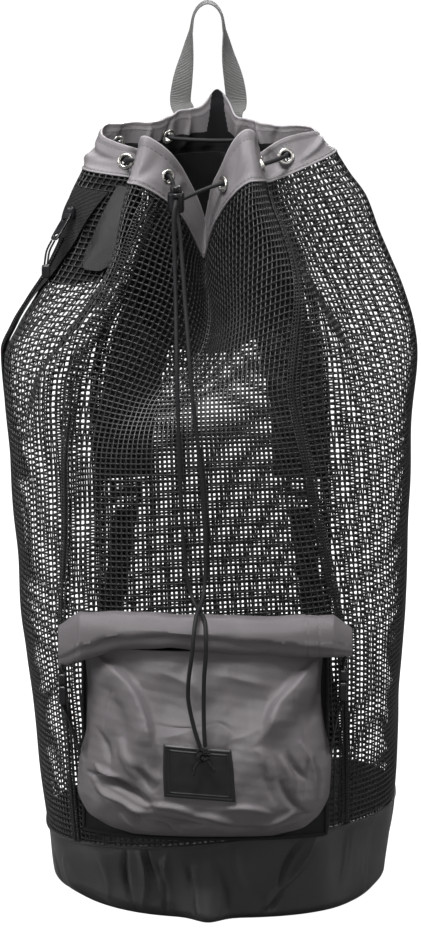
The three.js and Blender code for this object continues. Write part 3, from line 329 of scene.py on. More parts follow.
def sheet_part(outer, thickness):
    """A closed sheet: a grid of points, the same grid moved in by the thickness, and a rim between the
    two, with a middle row of points that rounds the edge."""
    rows, columns = outer.shape[:2]
    inner = outer - grid_out(outer) * thickness
    uv = lengths_uv(outer)
    loop = round_loop(rows, columns)
    edge = outer.reshape(-1, 3)[loop]
    back = inner.reshape(-1, 3)[loop]
    beyond = edge_push(outer, loop) * thickness * 0.35
    rim = np.stack([edge, (edge + back) / 2 + beyond, back])
    return [part(outer, grid_faces(rows, columns), uv),
            part(inner, grid_faces(rows, columns, flip=True), uv),
            part(rim, grid_faces(3, len(loop), True, flip=True), np.tile(uv.reshape(-1, 2)[loop], (3, 1)))]


def edge_push(points, loop):
    """Unit directions out over the edge of a grid: from the point one step inside to the edge's point."""
    rows, columns = points.shape[:2]
    row, column = np.divmod(loop, columns)
    push = points[row, column] - points[np.clip(row, 1, rows - 2), np.clip(column, 1, columns - 2)]
    return push / np.maximum(np.linalg.norm(push, axis=-1, keepdims=True), 1e-9)


def tube_part(path, radius, sides=12, squash=1.0, closed=False):
    """A round tube along a path of points, with closed ends. Its rings stand square to the path, and turn
    as little as they can from one point to the next."""
    path = np.asarray(path, float)
    if closed:
        along = np.roll(path, -1, axis=0) - np.roll(path, 1, axis=0)
    else:
        along = np.gradient(path, axis=0)
    along /= np.linalg.norm(along, axis=1, keepdims=True)
    side = np.zeros_like(path)
    seed = np.array([0.0, 0.0, 1.0]) if abs(along[0, 2]) < 0.9 else np.array([1.0, 0.0, 0.0])
    for place in range(len(path)):
        seed = seed - along[place] * (seed @ along[place])
        seed /= np.linalg.norm(seed)
        side[place] = seed
    other = np.cross(along, side)
    turn = np.linspace(0, 2 * np.pi, sides, endpoint=False)
    radii = np.broadcast_to(np.asarray(radius, float), (len(path),))
    ring = side[:, None] * np.cos(turn)[:, None] + other[:, None] * np.sin(turn)[:, None] * squash
    points = path[:, None] + ring * radii[:, None, None]
    uv = np.stack(np.broadcast_arrays(turn[None] * radii.mean(), runs(path)[:, None]), axis=-1)
    if closed:
        points = np.concatenate([points, points[:1]])
        uv = np.concatenate([uv, uv[-1:] + [0, 1]])
    faces = [grid_faces(len(points), sides, True)]
    if not closed:
        last = (len(points) - 1) * sides
        faces += [np.arange(sides)[None, ::-1], last + np.arange(sides)[None]]
    return part(points, faces, uv)


def ribbon_part(middles, across, out, width, thickness, sides=10):
    """Flat webbing along a path: a rounded strip whose section is a superellipse of power 6, with a middle,
    a direction across and a direction out at each station."""
    turn = np.linspace(0, 2 * np.pi, 2 * sides, endpoint=False) + np.pi / (2 * sides)
    flat = signed_power(np.cos(turn), 1 / 3)
    thick = signed_power(np.sin(turn), 1 / 3)
    points = (middles[:, None] + across[:, None] * (flat * width / 2)[None, :, None]
              + out[:, None] * (thick * thickness / 2)[None, :, None])
    places = np.stack(np.broadcast_arrays((flat * width / 2)[None], runs(middles)[:, None]), axis=-1)
    cap = np.arange(len(turn))[None]
    last = (len(middles) - 1) * len(turn)
    faces = [grid_faces(len(middles), len(turn), True), cap[:, ::-1], last + cap]
    return part(points, faces, places)


def lathe_part(profile, sides, centre, axis):
    """A profile of (radius, height) pairs turned about an axis through a centre."""
    axis = np.asarray(axis, float) / np.linalg.norm(axis)
    helper = np.array([1.0, 0, 0]) if abs(axis[0]) < 0.8 else np.array([0, 1.0, 0])
    side = np.cross(axis, helper)
    side /= np.linalg.norm(side)
    other = np.cross(axis, side)
    turn = np.linspace(0, 2 * np.pi, sides, endpoint=False)
    ring = side[None] * np.cos(turn)[:, None] + other[None] * np.sin(turn)[:, None]
    profile = np.asarray(profile, float)
    points = np.asarray(centre, float) + ring * profile[:, 0, None, None] + axis * profile[:, 1, None, None]
    uv = np.stack(np.broadcast_arrays(turn[None] * profile[:, 0].max(), profile[:, 1:2]), axis=-1)
    return part(points, grid_faces(len(profile), sides, True), uv)


def block_part(centre, size, power=8, steps=12, axes=None):
    """A rounded block: the points of a ball pushed out to a superellipsoid of the given power, and turned
    to three axes."""
    up = np.linspace(-np.pi / 2, np.pi / 2, steps + 1)
    turn = np.linspace(0, 2 * np.pi, 2 * steps, endpoint=False)
    lift, around = np.meshgrid(up, turn, indexing="ij")
    ball = np.stack([np.cos(lift) * np.cos(around), np.cos(lift) * np.sin(around), np.sin(lift)], axis=-1)
    scale = (np.abs(ball) ** power).sum(axis=-1, keepdims=True) ** (-1 / power)
    points = ball * scale * np.asarray(size, float) / 2
    if axes is not None:
        points = points @ np.asarray(axes, float)
    return part(points + np.asarray(centre, float), grid_faces(steps + 1, len(turn), True))


def joined(parts):
    """All points, faces, places and finish numbers of several parts in one set of lists."""
    start = 0
    points, faces, places, shades = [], [], [], []
    for one in parts:
        points.append(one["points"])
        places.append(one["uv"])
        for order, group in enumerate(one["faces"]):
            shade = one["shade"][order] if isinstance(one["shade"], (list, tuple)) else one["shade"]
            faces.extend((group + start).tolist())
            shades.extend([shade] * len(group))
        start += len(one["points"])
    return np.concatenate(points), faces, np.concatenate(places), shades


def linked(name, data):
    """A new object in the scene, with its mesh, curve, light or camera."""
    thing = bpy.data.objects.new(name, data)
    bpy.context.collection.objects.link(thing)
    return thing


def weld(mesh, sharp=55):
    """Merges the points of a mesh that lie together, turns its faces outwards and keeps its edges sharp
    where they turn by more than an angle in degrees."""
    work = bmesh.new()
    work.from_mesh(mesh)
    bmesh.ops.remove_doubles(work, verts=work.verts, dist=0.002 * MM)
    bmesh.ops.recalc_face_normals(work, faces=work.faces)
    work.to_mesh(mesh)
    work.free()
    mesh.set_sharp_from_angle(angle=np.radians(sharp))


def piece(name, parts, finishes, stands_for=(), body="bag", sharp=55):
    """Makes one mesh piece from parts, with its finishes, its body and the nodes it replaces."""
    points, faces, places, shades = joined(parts)
    mesh = bpy.data.meshes.new(name)
    mesh.from_pydata((points * MM).tolist(), [], faces)
    layer = mesh.uv_layers.new(name="UVMap")
    corners = np.empty(len(mesh.loops), dtype=np.int32)
    mesh.loops.foreach_get("vertex_index", corners)
    layer.data.foreach_set("uv", places[corners].ravel())
    mesh.polygons.foreach_set("use_smooth", np.full(len(mesh.polygons), True))
    mesh.polygons.foreach_set("material_index", np.array(shades, dtype=np.int32))
    for finish in finishes if isinstance(finishes, (list, tuple)) else [finishes]:
        mesh.materials.append(finish)
    weld(mesh, sharp)
    thing = linked(name, mesh)
    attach(thing, body)
    if stands_for:
        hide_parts(*stands_for)
    return thing


# Finishes

class Shade:
    """A socket of a shader's nodes. Sums, differences, products and quotients of it are math nodes."""

    def __init__(self, tree, socket):
        self.tree = tree
        self.socket = socket

    def node(self, kind, inputs=None, output=0, **settings):
        """Adds a node with its inputs, by name or number, and its settings, and gives one output."""
        new = self.tree.nodes.new(kind)
        for key, value in settings.items():
            setattr(new, key, value)
        for key, value in (inputs or {}).items():
            if isinstance(value, Shade):
                self.tree.links.new(value.socket, new.inputs[key])
            else:
                new.inputs[key].default_value = value
        return Shade(self.tree, new.outputs[output])

    def maths(self, operation, *values):
        """A math node on several values."""
        return self.node("ShaderNodeMath", dict(enumerate(values)), operation=operation)

    def __add__(self, other):
        return self.maths("ADD", self, other)

    __radd__ = __add__

    def __mul__(self, other):
        return self.maths("MULTIPLY", self, other)

    __rmul__ = __mul__

    def __sub__(self, other):
        return self.maths("SUBTRACT", self, other)

    def __rsub__(self, other):
        return self.maths("SUBTRACT", other, self)

    def __truediv__(self, other):
        return self.maths("DIVIDE", self, other)

    def wave(self, length):
        """The sine of this value over a length, from -1 to 1."""
        return self.maths("SINE", self * (2 * np.pi / length))

    def step(self, low, high):
        """0 below low and 1 above high, with a straight slope between."""
        return self.node("ShaderNodeMapRange", {0: self, 1: low, 2: high, 3: 0.0, 4: 1.0})

    def mixed(self, first, second):
        """The first colour where this value is 0 and the second where it is 1."""
        pair = [tone if isinstance(tone, Shade) else (*tone, 1) for tone in (first, second)]
        return self.node("ShaderNodeMix", {0: self, 6: pair[0], 7: pair[1]}, output=2, data_type="RGBA")


class Finish:
    """One material: a Principled shader, with texture places in millimetres and noise to build it from."""

    def __init__(self, name, **constants):
        self.material = bpy.data.materials.new(name)
        self.material.use_nodes = True
        self.tree = self.material.node_tree
        self.shader = self.tree.nodes["Principled BSDF"]
        for key, value in constants.items():
            self.shader.inputs[key.replace("_", " ").title().replace("Ior", "IOR")].default_value = value
        self.start = Shade(self.tree, None)
        coordinates = self.tree.nodes.new("ShaderNodeTexCoord")
        self.object_place = Shade(self.tree, coordinates.outputs["Object"])
        uv = self.tree.nodes.new("ShaderNodeSeparateXYZ")
        self.tree.links.new(coordinates.outputs["UV"], uv.inputs[0])
        self.u = Shade(self.tree, uv.outputs[0])
        self.v = Shade(self.tree, uv.outputs[1])

    def noise(self, size, detail=3.0):
        """Noise from 0 to 1 in object space, with features of about the size in millimetres."""
        return self.start.node("ShaderNodeTexNoise", {"Vector": self.object_place, "Scale": 1 / (size * MM),
                                                      "Detail": detail, "Roughness": 0.55})

    def weave(self, pitch):
        """Plain weave from -1 to 1: the product of a wave across and a wave along."""
        return self.u.wave(pitch) * self.v.wave(pitch)

    def dashes(self, line):
        """A row of stitches from 0 to 1 along a height, 0.5 mm to either side of it and 3.2 mm apart."""
        gap = self.v.maths("ABSOLUTE", self.v - line)
        return (1 - gap.step(0.5 * 0.6, 0.5)) * self.u.wave(3.2).step(-0.5, -0.2)

    def colour(self, value):
        """The shader's colour."""
        self.tree.links.new(value.socket, self.shader.inputs["Base Color"])

    def roughness(self, value):
        """The shader's roughness."""
        self.tree.links.new(value.socket, self.shader.inputs["Roughness"])

    def bump(self, height, distance):
        """Height from nodes, in units of the distance in millimetres, as bump on the shader's normal."""
        bump = self.start.node("ShaderNodeBump", {"Height": height, "Distance": distance * MM, "Strength": 1.0})
        self.tree.links.new(bump.socket, self.shader.inputs["Normal"])


def cloth_finish(name, dark, light, rough, weave_pitch, weave_depth, grain=18.0, mottle=0.35, stitches=(),
                 edge=None, **constants):
    """Woven cloth: colour between two tones by fine and coarse noise, a weave's bump and a soft grain.
    Rows of dark stitches run along given heights, and above the edge's height a painted highlight makes the
    cloth paler, where its folded hem catches the light."""
    finish = Finish(name, **constants)
    coarse = finish.noise(grain * 3, 2.0)
    fine = finish.noise(grain / 6, 3.0)
    blend = coarse * (1 - mottle) + fine * mottle
    tone = blend.step(0.25, 0.75).mixed(dark, light)
    height = finish.weave(weave_pitch) * 0.5 + finish.noise(grain) * (grain / 10)
    for line in stitches:
        row = finish.dashes(line)
        tone = (row * 0.7).mixed(tone, (0.02, 0.018, 0.019))
        height = height - row * 1.5
    # Painted highlight: above the edge's height the colour is 1.9 times the light tone, where the hem's fold
    # catches the light.
    if edge is not None:
        tone = finish.v.step(edge, edge + 0.5).mixed(tone, tuple(1.9 * c for c in light))
    finish.colour(tone)
    finish.roughness(fine * 0.2 + (rough - 0.1))
    finish.bump(height, weave_depth)
    return finish.material


def ribbed_finish(name, dark, light, rough, rib=1.6, depth=0.25, **constants):
    """Webbing: ribs across its width, each crossed by fine threads along it."""
    finish = Finish(name, **constants)
    ribs = finish.v.wave(rib)
    threads = finish.u.wave(rib * 0.7)
    fine = finish.noise(1.2, 3.0)
    finish.colour((ribs * 0.25 + fine * 0.9).step(0.1, 0.9).mixed(dark, light))
    finish.roughness(fine * 0.2 + (rough - 0.1))
    finish.bump(ribs + threads * 0.5 + fine, depth)
    return finish.material


def plastic_finish(name, colour, rough, **constants):
    """Moulded plastic: one colour with a faint mottle, fine grain and wear."""
    finish = Finish(name, **constants)
    grain = finish.noise(0.7, 3.0)
    wear = finish.noise(14, 3.0)
    finish.colour(wear.step(0.35, 0.8).mixed(colour, tuple(c * 1.6 + 0.004 for c in colour)))
    finish.roughness(wear * 0.2 + (rough - 0.1))
    finish.bump(grain, 0.05)
    return finish.material


def metal_finish(name, colour, rough):
    """Plated metal: a clear tone with fine scratches that change its roughness."""
    finish = Finish(name, metallic=1.0)
    fine = finish.noise(1.5, 4.0)
    finish.colour(finish.noise(6, 2.0).step(0.3, 0.8).mixed(colour, tuple(c * 0.72 for c in colour)))
    finish.roughness(fine * 0.25 + (rough - 0.12))
    finish.bump(fine, 0.05)
    return finish.material


net_finish = plastic_finish("net", (0.006, 0.006, 0.0065), 0.42, specular_ior_level=0.35)
base_finish = cloth_finish("base_cloth", (0.015, 0.015, 0.016), (0.026, 0.026, 0.028), 0.38, 0.9, 0.25,
                           specular_ior_level=0.5)
garage_finish = cloth_finish("garage_cloth", (0.014, 0.014, 0.015), (0.022, 0.022, 0.024), 0.5, 0.9, 0.25,
                             specular_ior_level=0.4)
# edge=45.6 paints a highlight along the top of the collar's folded hem.
collar_finish = cloth_finish("collar_cloth", (0.112, 0.104, 0.110), (0.152, 0.142, 0.149), 0.42, 0.8, 0.18,
                             grain=14.0, stitches=(3.0, 37.6), edge=45.6, specular_ior_level=0.5)
piping_finish = cloth_finish("collar_piping", (0.140, 0.130, 0.137), (0.195, 0.182, 0.192), 0.42, 0.8, 0.18)
# Black cloth for the collar's lining and the zip's backing, also used as painted shade in the back cloth and at
# the collar's back peak.
lining_and_shade_finish = cloth_finish("lining_and_shade_cloth", (0.003, 0.003, 0.004), (0.006, 0.006, 0.007), 0.7, 0.8, 0.18,
                             specular_ior_level=0.2)
pocket_finish = cloth_finish("pocket_cloth", (0.088, 0.080, 0.085), (0.118, 0.108, 0.115), 0.38, 0.8, 0.18,
                             grain=16.0, specular_ior_level=0.5)
backing_finish = cloth_finish("pocket_backing", (0.004, 0.004, 0.005), (0.008, 0.008, 0.009), 0.65, 1.0, 0.25,
                              specular_ior_level=0.25)
webbing_finish = ribbed_finish("black_webbing", (0.005, 0.005, 0.006), (0.014, 0.014, 0.015), 0.6,
                                specular_ior_level=0.2)
haul_finish = ribbed_finish("haul_webbing", (0.064, 0.065, 0.063), (0.122, 0.124, 0.120), 0.7)
pad_finish = cloth_finish("strap_cloth", (0.005, 0.005, 0.006), (0.010, 0.010, 0.011), 0.75, 2.6, 0.5,
                          specular_ior_level=0.2)
cord_finish = ribbed_finish("cord", (0.004, 0.004, 0.005), (0.010, 0.010, 0.011), 0.62, rib=1.8, depth=0.35,
                            specular_ior_level=0.2)
plastic = plastic_finish("black_plastic", (0.004, 0.004, 0.005), 0.34, specular_ior_level=0.3)
metal = metal_finish("ring_metal", (0.72, 0.70, 0.66), 0.28)
rubber = plastic_finish("patch_rubber", (0.004, 0.004, 0.004), 0.46, specular_ior_level=0.35)


# Camera and light

def aim(thing, place, target):
    """Puts a camera or light at a place and turns it to look at a target, both in metres."""
    thing.location = place
    thing.rotation_mode = "QUATERNION"
    thing.rotation_quaternion = (Vector(target) - Vector(place)).to_track_quat("-Z", "Y")


def make_camera():
    """Camera at the photograph's angle, 13.5 degrees above the front, far off with a long lens."""
    target = Vector((-0.0026, 0.0, 0.453))
    rise = np.radians(13.5)
    distance = 6.0
    view_height = 0.9755
    lens = bpy.data.cameras.new("camera")
    lens.sensor_width = 36
    lens.lens = 36 * distance / view_height
    lens.clip_end = 60
    thing = linked("camera", lens)
    aim(thing, target + distance * Vector((0, -np.cos(rise), np.sin(rise))), target)
    bpy.context.scene.camera = thing


def make_light(name, place, target, size, power):
    """A square area light of a size in metres and a power in watts."""
    light = bpy.data.lights.new(name, "AREA")
    light.shape = "SQUARE"
    light.size = size
    light.energy = power
    aim(linked(name, light), place, target)


def make_studio():
    """White surroundings, a pale floor that looks white, and six soft lights."""
    scene = bpy.context.scene
    scene.view_settings.view_transform = "Standard"
    world = bpy.data.worlds.new("studio")
    scene.world = world
    world.use_nodes = True
    tree = world.node_tree
    dim = tree.nodes["Background"]
    dim.inputs["Color"].default_value = (1, 1, 1, 1)
    dim.inputs["Strength"].default_value = 0.12
    start = Shade(tree, None)
    seen = start.node("ShaderNodeBackground", {"Color": (1, 1, 1, 1), "Strength": 1.0})
    ray = start.node("ShaderNodeLightPath")
    mixed = start.node("ShaderNodeMixShader", {0: ray, 1: Shade(tree, dim.outputs[0]), 2: seen})
    tree.links.new(mixed.socket, tree.nodes["World Output"].inputs["Surface"])
    make_light("key", (-0.35, -1.15, 2.6), (0, -0.1, 0.4), 0.7, 120)
    make_light("front", (0.5, -2.9, 1.1), (0, 0, 0.4), 1.3, 10)
    make_light("left", (-2.1, -0.6, 1.2), (0, 0, 0.4), 0.8, 26)
    make_light("right", (2.1, -0.6, 1.2), (0, 0, 0.4), 0.8, 16)
    make_light("top", (0.0, 0.7, 2.7), (0, 0, 0.7), 1.2, 40)
    make_light("rear", (0.5, 2.6, 1.7), (0, 0, 0.4), 1.0, 40)
    finish = Finish("floor", roughness=0.9, emission_strength=1.0)
    seen_white = finish.start.node("ShaderNodeLightPath").mixed((0.02, 0.02, 0.02), (0.99, 0.99, 0.99))
    finish.tree.links.new(seen_white.socket, finish.shader.inputs["Emission Color"])
    finish.colour(finish.noise(400, 2.0).step(0.3, 0.7).mixed((0.16, 0.16, 0.16), (0.17, 0.17, 0.17)))
    mesh = bpy.data.meshes.new("floor")
    reach = 14
    mesh.from_pydata([(-reach, -reach, 0), (reach, -reach, 0), (reach, reach, 0), (-reach, reach, 0)], [],
                     [(0, 1, 2, 3)])
    mesh.materials.append(finish.material)
    linked("floor", mesh)


make_camera()
make_studio()

# Cords: the lock, the held round of drawcord and the two free tails

CORD_DIAMETER = 4.4
CORD_PITCH = 4.7
LOCK_PLACE = np.array([-38.0, -99.0, 752.0])
LOCK_BACK = 14.5
LOCK_FRONT = 10.0
TAIL_LEFT = np.array([
    (-38, -109.3, 754.35), (-38, -112.5, 754.3), (-38.6, -117.2, 752), (-39.8, -120, 744),
    (-40, -121.5, 733), (-39.5, -123, 714), (-38.8, -127, 690), (-38, -135, 660), (-37.5, -147, 630),
    (-37, -159, 600), (-36.5, -166, 570), (-35.5, -169.5, 540), (-34, -170, 500), (-32.5, -170, 455),
    (-30, -170, 410), (-26, -170.5, 372), (-20, -176, 352), (-13.5, -192, 344.5), (-8.5, -209, 339.5),
    (-7.5, -220.5, 325), (-7.5, -223, 305), (-9, -222.5, 285), (-9.5, -221, 262), (-9.5, -220, 240),
    (-9, -220.5, 222), (-8, -220.5, 209),
])
TAIL_RIGHT = np.array([
    (-38, -109.3, 749.65), (-38, -111.5, 749.3), (-37.4, -113.8, 746), (-36, -115.5, 738), (-34, -118, 727),
    (-32.5, -122.5, 708), (-30.5, -130, 684), (-28.5, -139, 655), (-26, -150, 627), (-24, -161, 599),
    (-21.5, -167, 570), (-18.5, -169.5, 540), (-13.5, -170, 500), (-9, -170, 455), (-7, -170, 410),
    (-8, -170.5, 372), (-10, -177, 357), (-13.5, -193, 349.5), (-17, -210, 344.5), (-19.5, -222, 330),
    (-21.5, -225.5, 308), (-24.5, -224, 285), (-25.5, -221.5, 262), (-22, -220, 240), (-17.5, -220.5, 222),
    (-13.5, -220.5, 209),
])
KNOT_PLACE = np.array([-10.6, -220.5, 200.0])


def catmull(points, steps):
    """A centripetal Catmull-Rom curve through points, with an even number of steps on each span: the
    knots lie apart by the square root of the distance, and each point is blended from its four."""
    points = np.asarray(points, float)
    before = 2 * points[0] - points[1]
    after = 2 * points[-1] - points[-2]
    held = np.vstack([before, points, after])
    apart = np.linalg.norm(np.diff(held, axis=0), axis=1) ** 0.5
    knots = np.concatenate([[0], np.cumsum(apart)])
    curve = []
    for span in range(len(points) - 1):
        k = knots[span:span + 4]
        p = held[span:span + 4]
        last = span == len(points) - 2
        t = np.linspace(k[1], k[2], steps + 1)[:None if last else -1, None]
        a = [((k[i + 1] - t) * p[i] + (t - k[i]) * p[i + 1]) / (k[i + 1] - k[i]) for i in range(3)]
        b = [((k[i + 2] - t) * a[i] + (t - k[i]) * a[i + 1]) / (k[i + 2] - k[i]) for i in range(2)]
        curve.append(((k[2] - t) * b[0] + (t - k[1]) * b[1]) / (k[2] - k[1]))
    return np.vstack(curve)


def run_of(points):
    """Length of a line of points."""
    return float(np.linalg.norm(np.diff(points, axis=0), axis=1).sum())


def cord_curve(name, points, diameter, finish, stands_for):
    """A cord as one open curve through its points, with a round bevel."""
    curve = bpy.data.curves.new(name, "CURVE")
    curve.dimensions = "3D"
    curve.bevel_depth = diameter * MM / 2
    curve.bevel_resolution = 4
    curve.use_fill_caps = True
    spline = curve.splines.new("POLY")
    spline.points.add(len(points) - 1)
    spline.points.foreach_set("co", np.hstack([points * MM, np.ones((len(points), 1))]).ravel())
    spline.use_smooth = True
    curve.materials.append(finish)
    thing = linked(name, curve)
    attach(thing, "bag")
    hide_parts(*stands_for)
    return thing


def knot_parts():
    """An overhand knot as two crossing turns of cord round a middle, and two short ends that hang."""
    turn = np.linspace(0, 2 * np.pi, 61)[:-1]
    loop = np.stack([(2 + np.cos(3 * turn)) * np.cos(2 * turn), 0.9 * np.sin(3 * turn),
                     (2 + np.cos(3 * turn)) * np.sin(2 * turn)], axis=-1)
    parts = [tube_part(KNOT_PLACE + loop * [2.0, 1.6, 2.3], CORD_DIAMETER / 2, 12, closed=True)]
    for points in ([(-3, -0.5, -4), (-6, -1, -9), (-9, -1, -15), (-10, -1, -21)],
                   [(3, -0.5, -4), (6.5, -1, -8), (10, -1, -13), (13, -1, -17)]):
        line = catmull(KNOT_PLACE + np.array(points, float), 6)
        radius = np.full(len(line), CORD_DIAMETER / 2 - 0.3)
        radius[-2:] = [CORD_DIAMETER / 2 - 0.2, CORD_DIAMETER / 2 - 0.7]
        parts.append(tube_part(line, radius, 12))
    return parts


knot = piece("knot", knot_parts(), cord_finish, ["drawcord_knot"])
for side, points in (("left", TAIL_LEFT), ("right", TAIL_RIGHT)):
    line = catmull(points, 4)
    tail = cord_curve(f"tail_{side}", line, CORD_DIAMETER, cord_finish, [f"drawcord_tail_{side}"])


def ring_seats():
    """Middle and axis of each ring: on the collar's middle line, half its wall inside."""
    angles = np.array(GROMMET_ANGLES, float)
    centres = collar_point(angles, 0.5) - level_out(collar_point, angles, 0.5)
    return centres, out_of(collar_point, angles, 0.5)


def held_cord_points():
    """From the lock through the ten rings and back, inside each lobe and outside each valley."""
    centres, axes = ring_seats()
    run = (-LOCK_FRONT, 0, LOCK_BACK - 3, LOCK_BACK)
    points = [LOCK_PLACE + (0, back, CORD_PITCH / 2) for back in run]
    for order, seat in enumerate((3, 2, 1, 0, 9, 8, 7, 6, 5, 4)):
        inward = 1 if order % 2 == 0 else -1
        points += [centres[seat] + axes[seat] * side * 5.2 for side in (inward, -inward)]
    points += [LOCK_PLACE + (0, back, -CORD_PITCH / 2) for back in run[::-1]]
    return np.array(points)


cord_curve("held_cord", catmull(held_cord_points(), 10), CORD_DIAMETER, cord_finish, ["drawcord"])


def carve(thing, cutters):
    """Cuts cutters out of a piece with exact booleans, keeps the result as its mesh and drops them."""
    for cutter in cutters:
        cut = thing.modifiers.new("cut", "BOOLEAN")
        cut.operation = "DIFFERENCE"
        cut.solver = "EXACT"
        cut.object = cutter
    shown = thing.evaluated_get(bpy.context.evaluated_depsgraph_get())
    mesh = bpy.data.meshes.new_from_object(shown)
    thing.modifiers.clear()
    thing.data = mesh
    for cutter in cutters:
        bpy.data.objects.remove(cutter)


def cutter_object(parts):
    """A plain mesh object for cutting, from parts."""
    points, faces, _, _ = joined(parts)
    mesh = bpy.data.meshes.new("cutter")
    mesh.from_pydata((points * MM).tolist(), [], faces)
    weld(mesh)
    thing = linked("cutter", mesh)
    return thing


def box_part(centre, size):
    """A sharp box from its centre and size."""
    corners = np.array([(x, y, z) for z in (-0.5, 0.5) for y in (-0.5, 0.5) for x in (-0.5, 0.5)])
    faces = np.array([(0, 2, 3, 1), (4, 5, 7, 6), (0, 1, 5, 4), (2, 6, 7, 3), (0, 4, 6, 2), (1, 3, 7, 5)])
    return part(np.asarray(centre, float) + corners * size, faces)


def make_lock():
    """The cord lock: a ribbed barrel with a rounded rim and slots, and a domed button that slides in it."""
    sides = 48
    turn = np.linspace(0, 2 * np.pi, sides, endpoint=False)
    barrel = lathe_part([(0, -10.5), (6.2, -10.5), (7.4, -10.2), (8.2, -9.4), (8.5, -8.4), (8.5, -2), (8.5, 2),
                         (8.5, 7.6), (8.5, 8.6), (8.2, 9.8), (7.5, 10.4), (6.7, 10.5), (6.2, 10.2), (6.1, 8),
                         (6.1, -8.3), (0, -8.3)], sides, LOCK_PLACE, (0, 0, 1))
    rings = barrel["points"].reshape(-1, sides, 3)
    grip = 1 + 0.012 * np.cos(16 * turn)[None, :, None]
    middle = (np.abs(rings[..., 2:] - LOCK_PLACE[2]) < 8) & (np.arange(len(rings))[:, None, None] < 9)
    level = np.array([1, 1, 0])
    offset = (rings - LOCK_PLACE) * level
    rings = np.where(middle, rings + offset * (grip - 1), rings)
    barrel["points"] = rings.reshape(-1, 3)
    thing = piece("lock_barrel", [barrel], plastic, ["cord_lock_barrel"])
    carve(thing, [cutter_object([box_part(LOCK_PLACE, (5, 40, 9.7))])])
    button = lathe_part([(0, -4), (5.3, -4), (5.8, -3.5), (5.8, 15.4), (5.6, 16.4), (4.9, 17.1), (3.6, 17.4),
                         (0, 17.5)], sides, LOCK_PLACE, (0, 0, 1))
    pressed = piece("lock_button_cap", [button], plastic, ["cord_lock_button"],
                    body="lock_button")
    carve(pressed, [cutter_object([box_part(LOCK_PLACE + (0, 0, 2), (5, 40, 13.7))])])


make_lock()


def ring_parts():
    """Ten rings: a rolled flange on each side of the cloth and a short throat between them."""
    centres, axes = ring_seats()
    roll = np.linspace(0, np.pi, 7)
    outer = [(6.7 + 1.75 * np.cos(turn), 2.1 + 0.9 * np.sin(turn)) for turn in roll]
    throat = [(5.0, 1.9), (5.0, 0), (5.0, -1.9)]
    inner = [(6.7 - 1.75 * np.cos(turn), -2.1 - 0.9 * np.sin(turn)) for turn in roll]
    back = [(8.3, -2.0), (6.0, -1.9), (6.0, 1.9), (8.3, 2.0), outer[0]]
    return [lathe_part(outer + throat + inner + back, 36, centre, axis) for centre, axis in zip(centres, axes)]


piece("rings", ring_parts(), metal, [f"grommet_{number}" for number in range(1, 11)])


# Net

NET_PITCH = 6.0
STRAND_WIDTH = 2.35
STRAND_THICKNESS = 1.5
LEVEL = 0.45


def even_angles(start, end, count):
    """Angles from start to end with equal runs between them round the body at 45 % of its height."""
    angles = np.linspace(start, end, 400)
    run = runs(body_point(angles, LEVEL))
    return np.interp(np.linspace(0, run[-1], count + 1), run, (angles - start) / (end - start))


def net_surface(angle, share):
    """Points of the net's middle: the net 0.9 mm in, with soft seeded unevenness of up to 2 mm that fades
    at the base and the mouth."""
    point = net_point(angle, share)
    fade = ease(share * 8) * ease((1 - share) * 8)
    uneven = 1.3 * ripples(point[..., 0] + point[..., 1], point[..., 2], 4, 7, 120)
    return point + level_out(net_point, angle, share) * (uneven * fade - 0.9)[..., None]


def lattice_part(points, strand, thickness):
    """A net on a grid of points. Each cell has a hole whose corners lie half a strand inside it, and the
    strands rise from the holes' edges to a ridge half a thickness out on each side."""
    rows, columns = points.shape[:2]
    out = grid_out(points)
    front = points + out * thickness / 2
    back = points - out * thickness / 2
    low_left, low_right = points[:-1, :-1], points[:-1, 1:]
    high_left, high_right = points[1:, :-1], points[1:, 1:]
    across = np.clip(strand / 2 / np.linalg.norm(low_right - low_left, axis=-1), 0.08, 0.44)[..., None]
    rise = np.clip(strand / 2 / np.linalg.norm(high_left - low_left, axis=-1), 0.08, 0.44)[..., None]

    def inside(u, v):
        return (low_left * (1 - u) * (1 - v) + low_right * u * (1 - v) + high_left * (1 - u) * v
                + high_right * u * v)

    holes = [inside(across, rise), inside(1 - across, rise), inside(1 - across, 1 - rise),
             inside(across, 1 - rise)]
    count = rows * columns
    cells = (rows - 1) * (columns - 1)
    row, column = np.divmod(np.arange(cells), columns - 1)
    node = row * columns + column
    corners = [node, node + 1, node + columns + 1, node + columns]
    hole = [2 * count + index * cells + np.arange(cells) for index in range(4)]
    faces = []
    for index in range(4):
        after = (index + 1) % 4
        faces.append(np.stack([corners[index], corners[after], hole[after], hole[index]], axis=-1))
        faces.append(np.stack([corners[after] + count, corners[index] + count, hole[index], hole[after]],
                              axis=-1))
    loop = round_loop(rows, columns)
    after = np.roll(loop, -1)
    faces.append(np.stack([after, loop, loop + count, after + count], axis=-1))
    everything = np.concatenate([front.reshape(-1, 3), back.reshape(-1, 3)] + [h.reshape(-1, 3) for h in holes])
    return part(everything, faces)


def seam_angle(side, share):
    """Angle of a front seam, left or right, at a share of the net's height."""
    return read_rows(FRONT_SEAMS[:, 0], FRONT_SEAMS[:, 1 if side == "left" else 2], share)


def net_panel(name, start, end, middle_start, middle_end, pitch=NET_PITCH, strand=STRAND_WIDTH):
    """A net panel between two seams, whose angles are functions of the height share. The middle angles are
    those of the seams half way up, where the cells are evenly wide."""
    run = body_point(np.linspace(middle_start, middle_end, 300), LEVEL)
    columns = int(round(run_of(run) / pitch))
    rows = int(round((MOUTH_HEIGHT - BASE_HEIGHT) / pitch))
    even = even_angles(middle_start, middle_end, columns)
    share = np.linspace(-0.004, 1.002, rows + 1)[:, None]
    angle = start(share) + (end(share) - start(share)) * even[None]
    return piece(f"{name}_lattice", [lattice_part(net_surface(angle, share), strand, STRAND_THICKNESS)],
                 net_finish, [name], sharp=180)


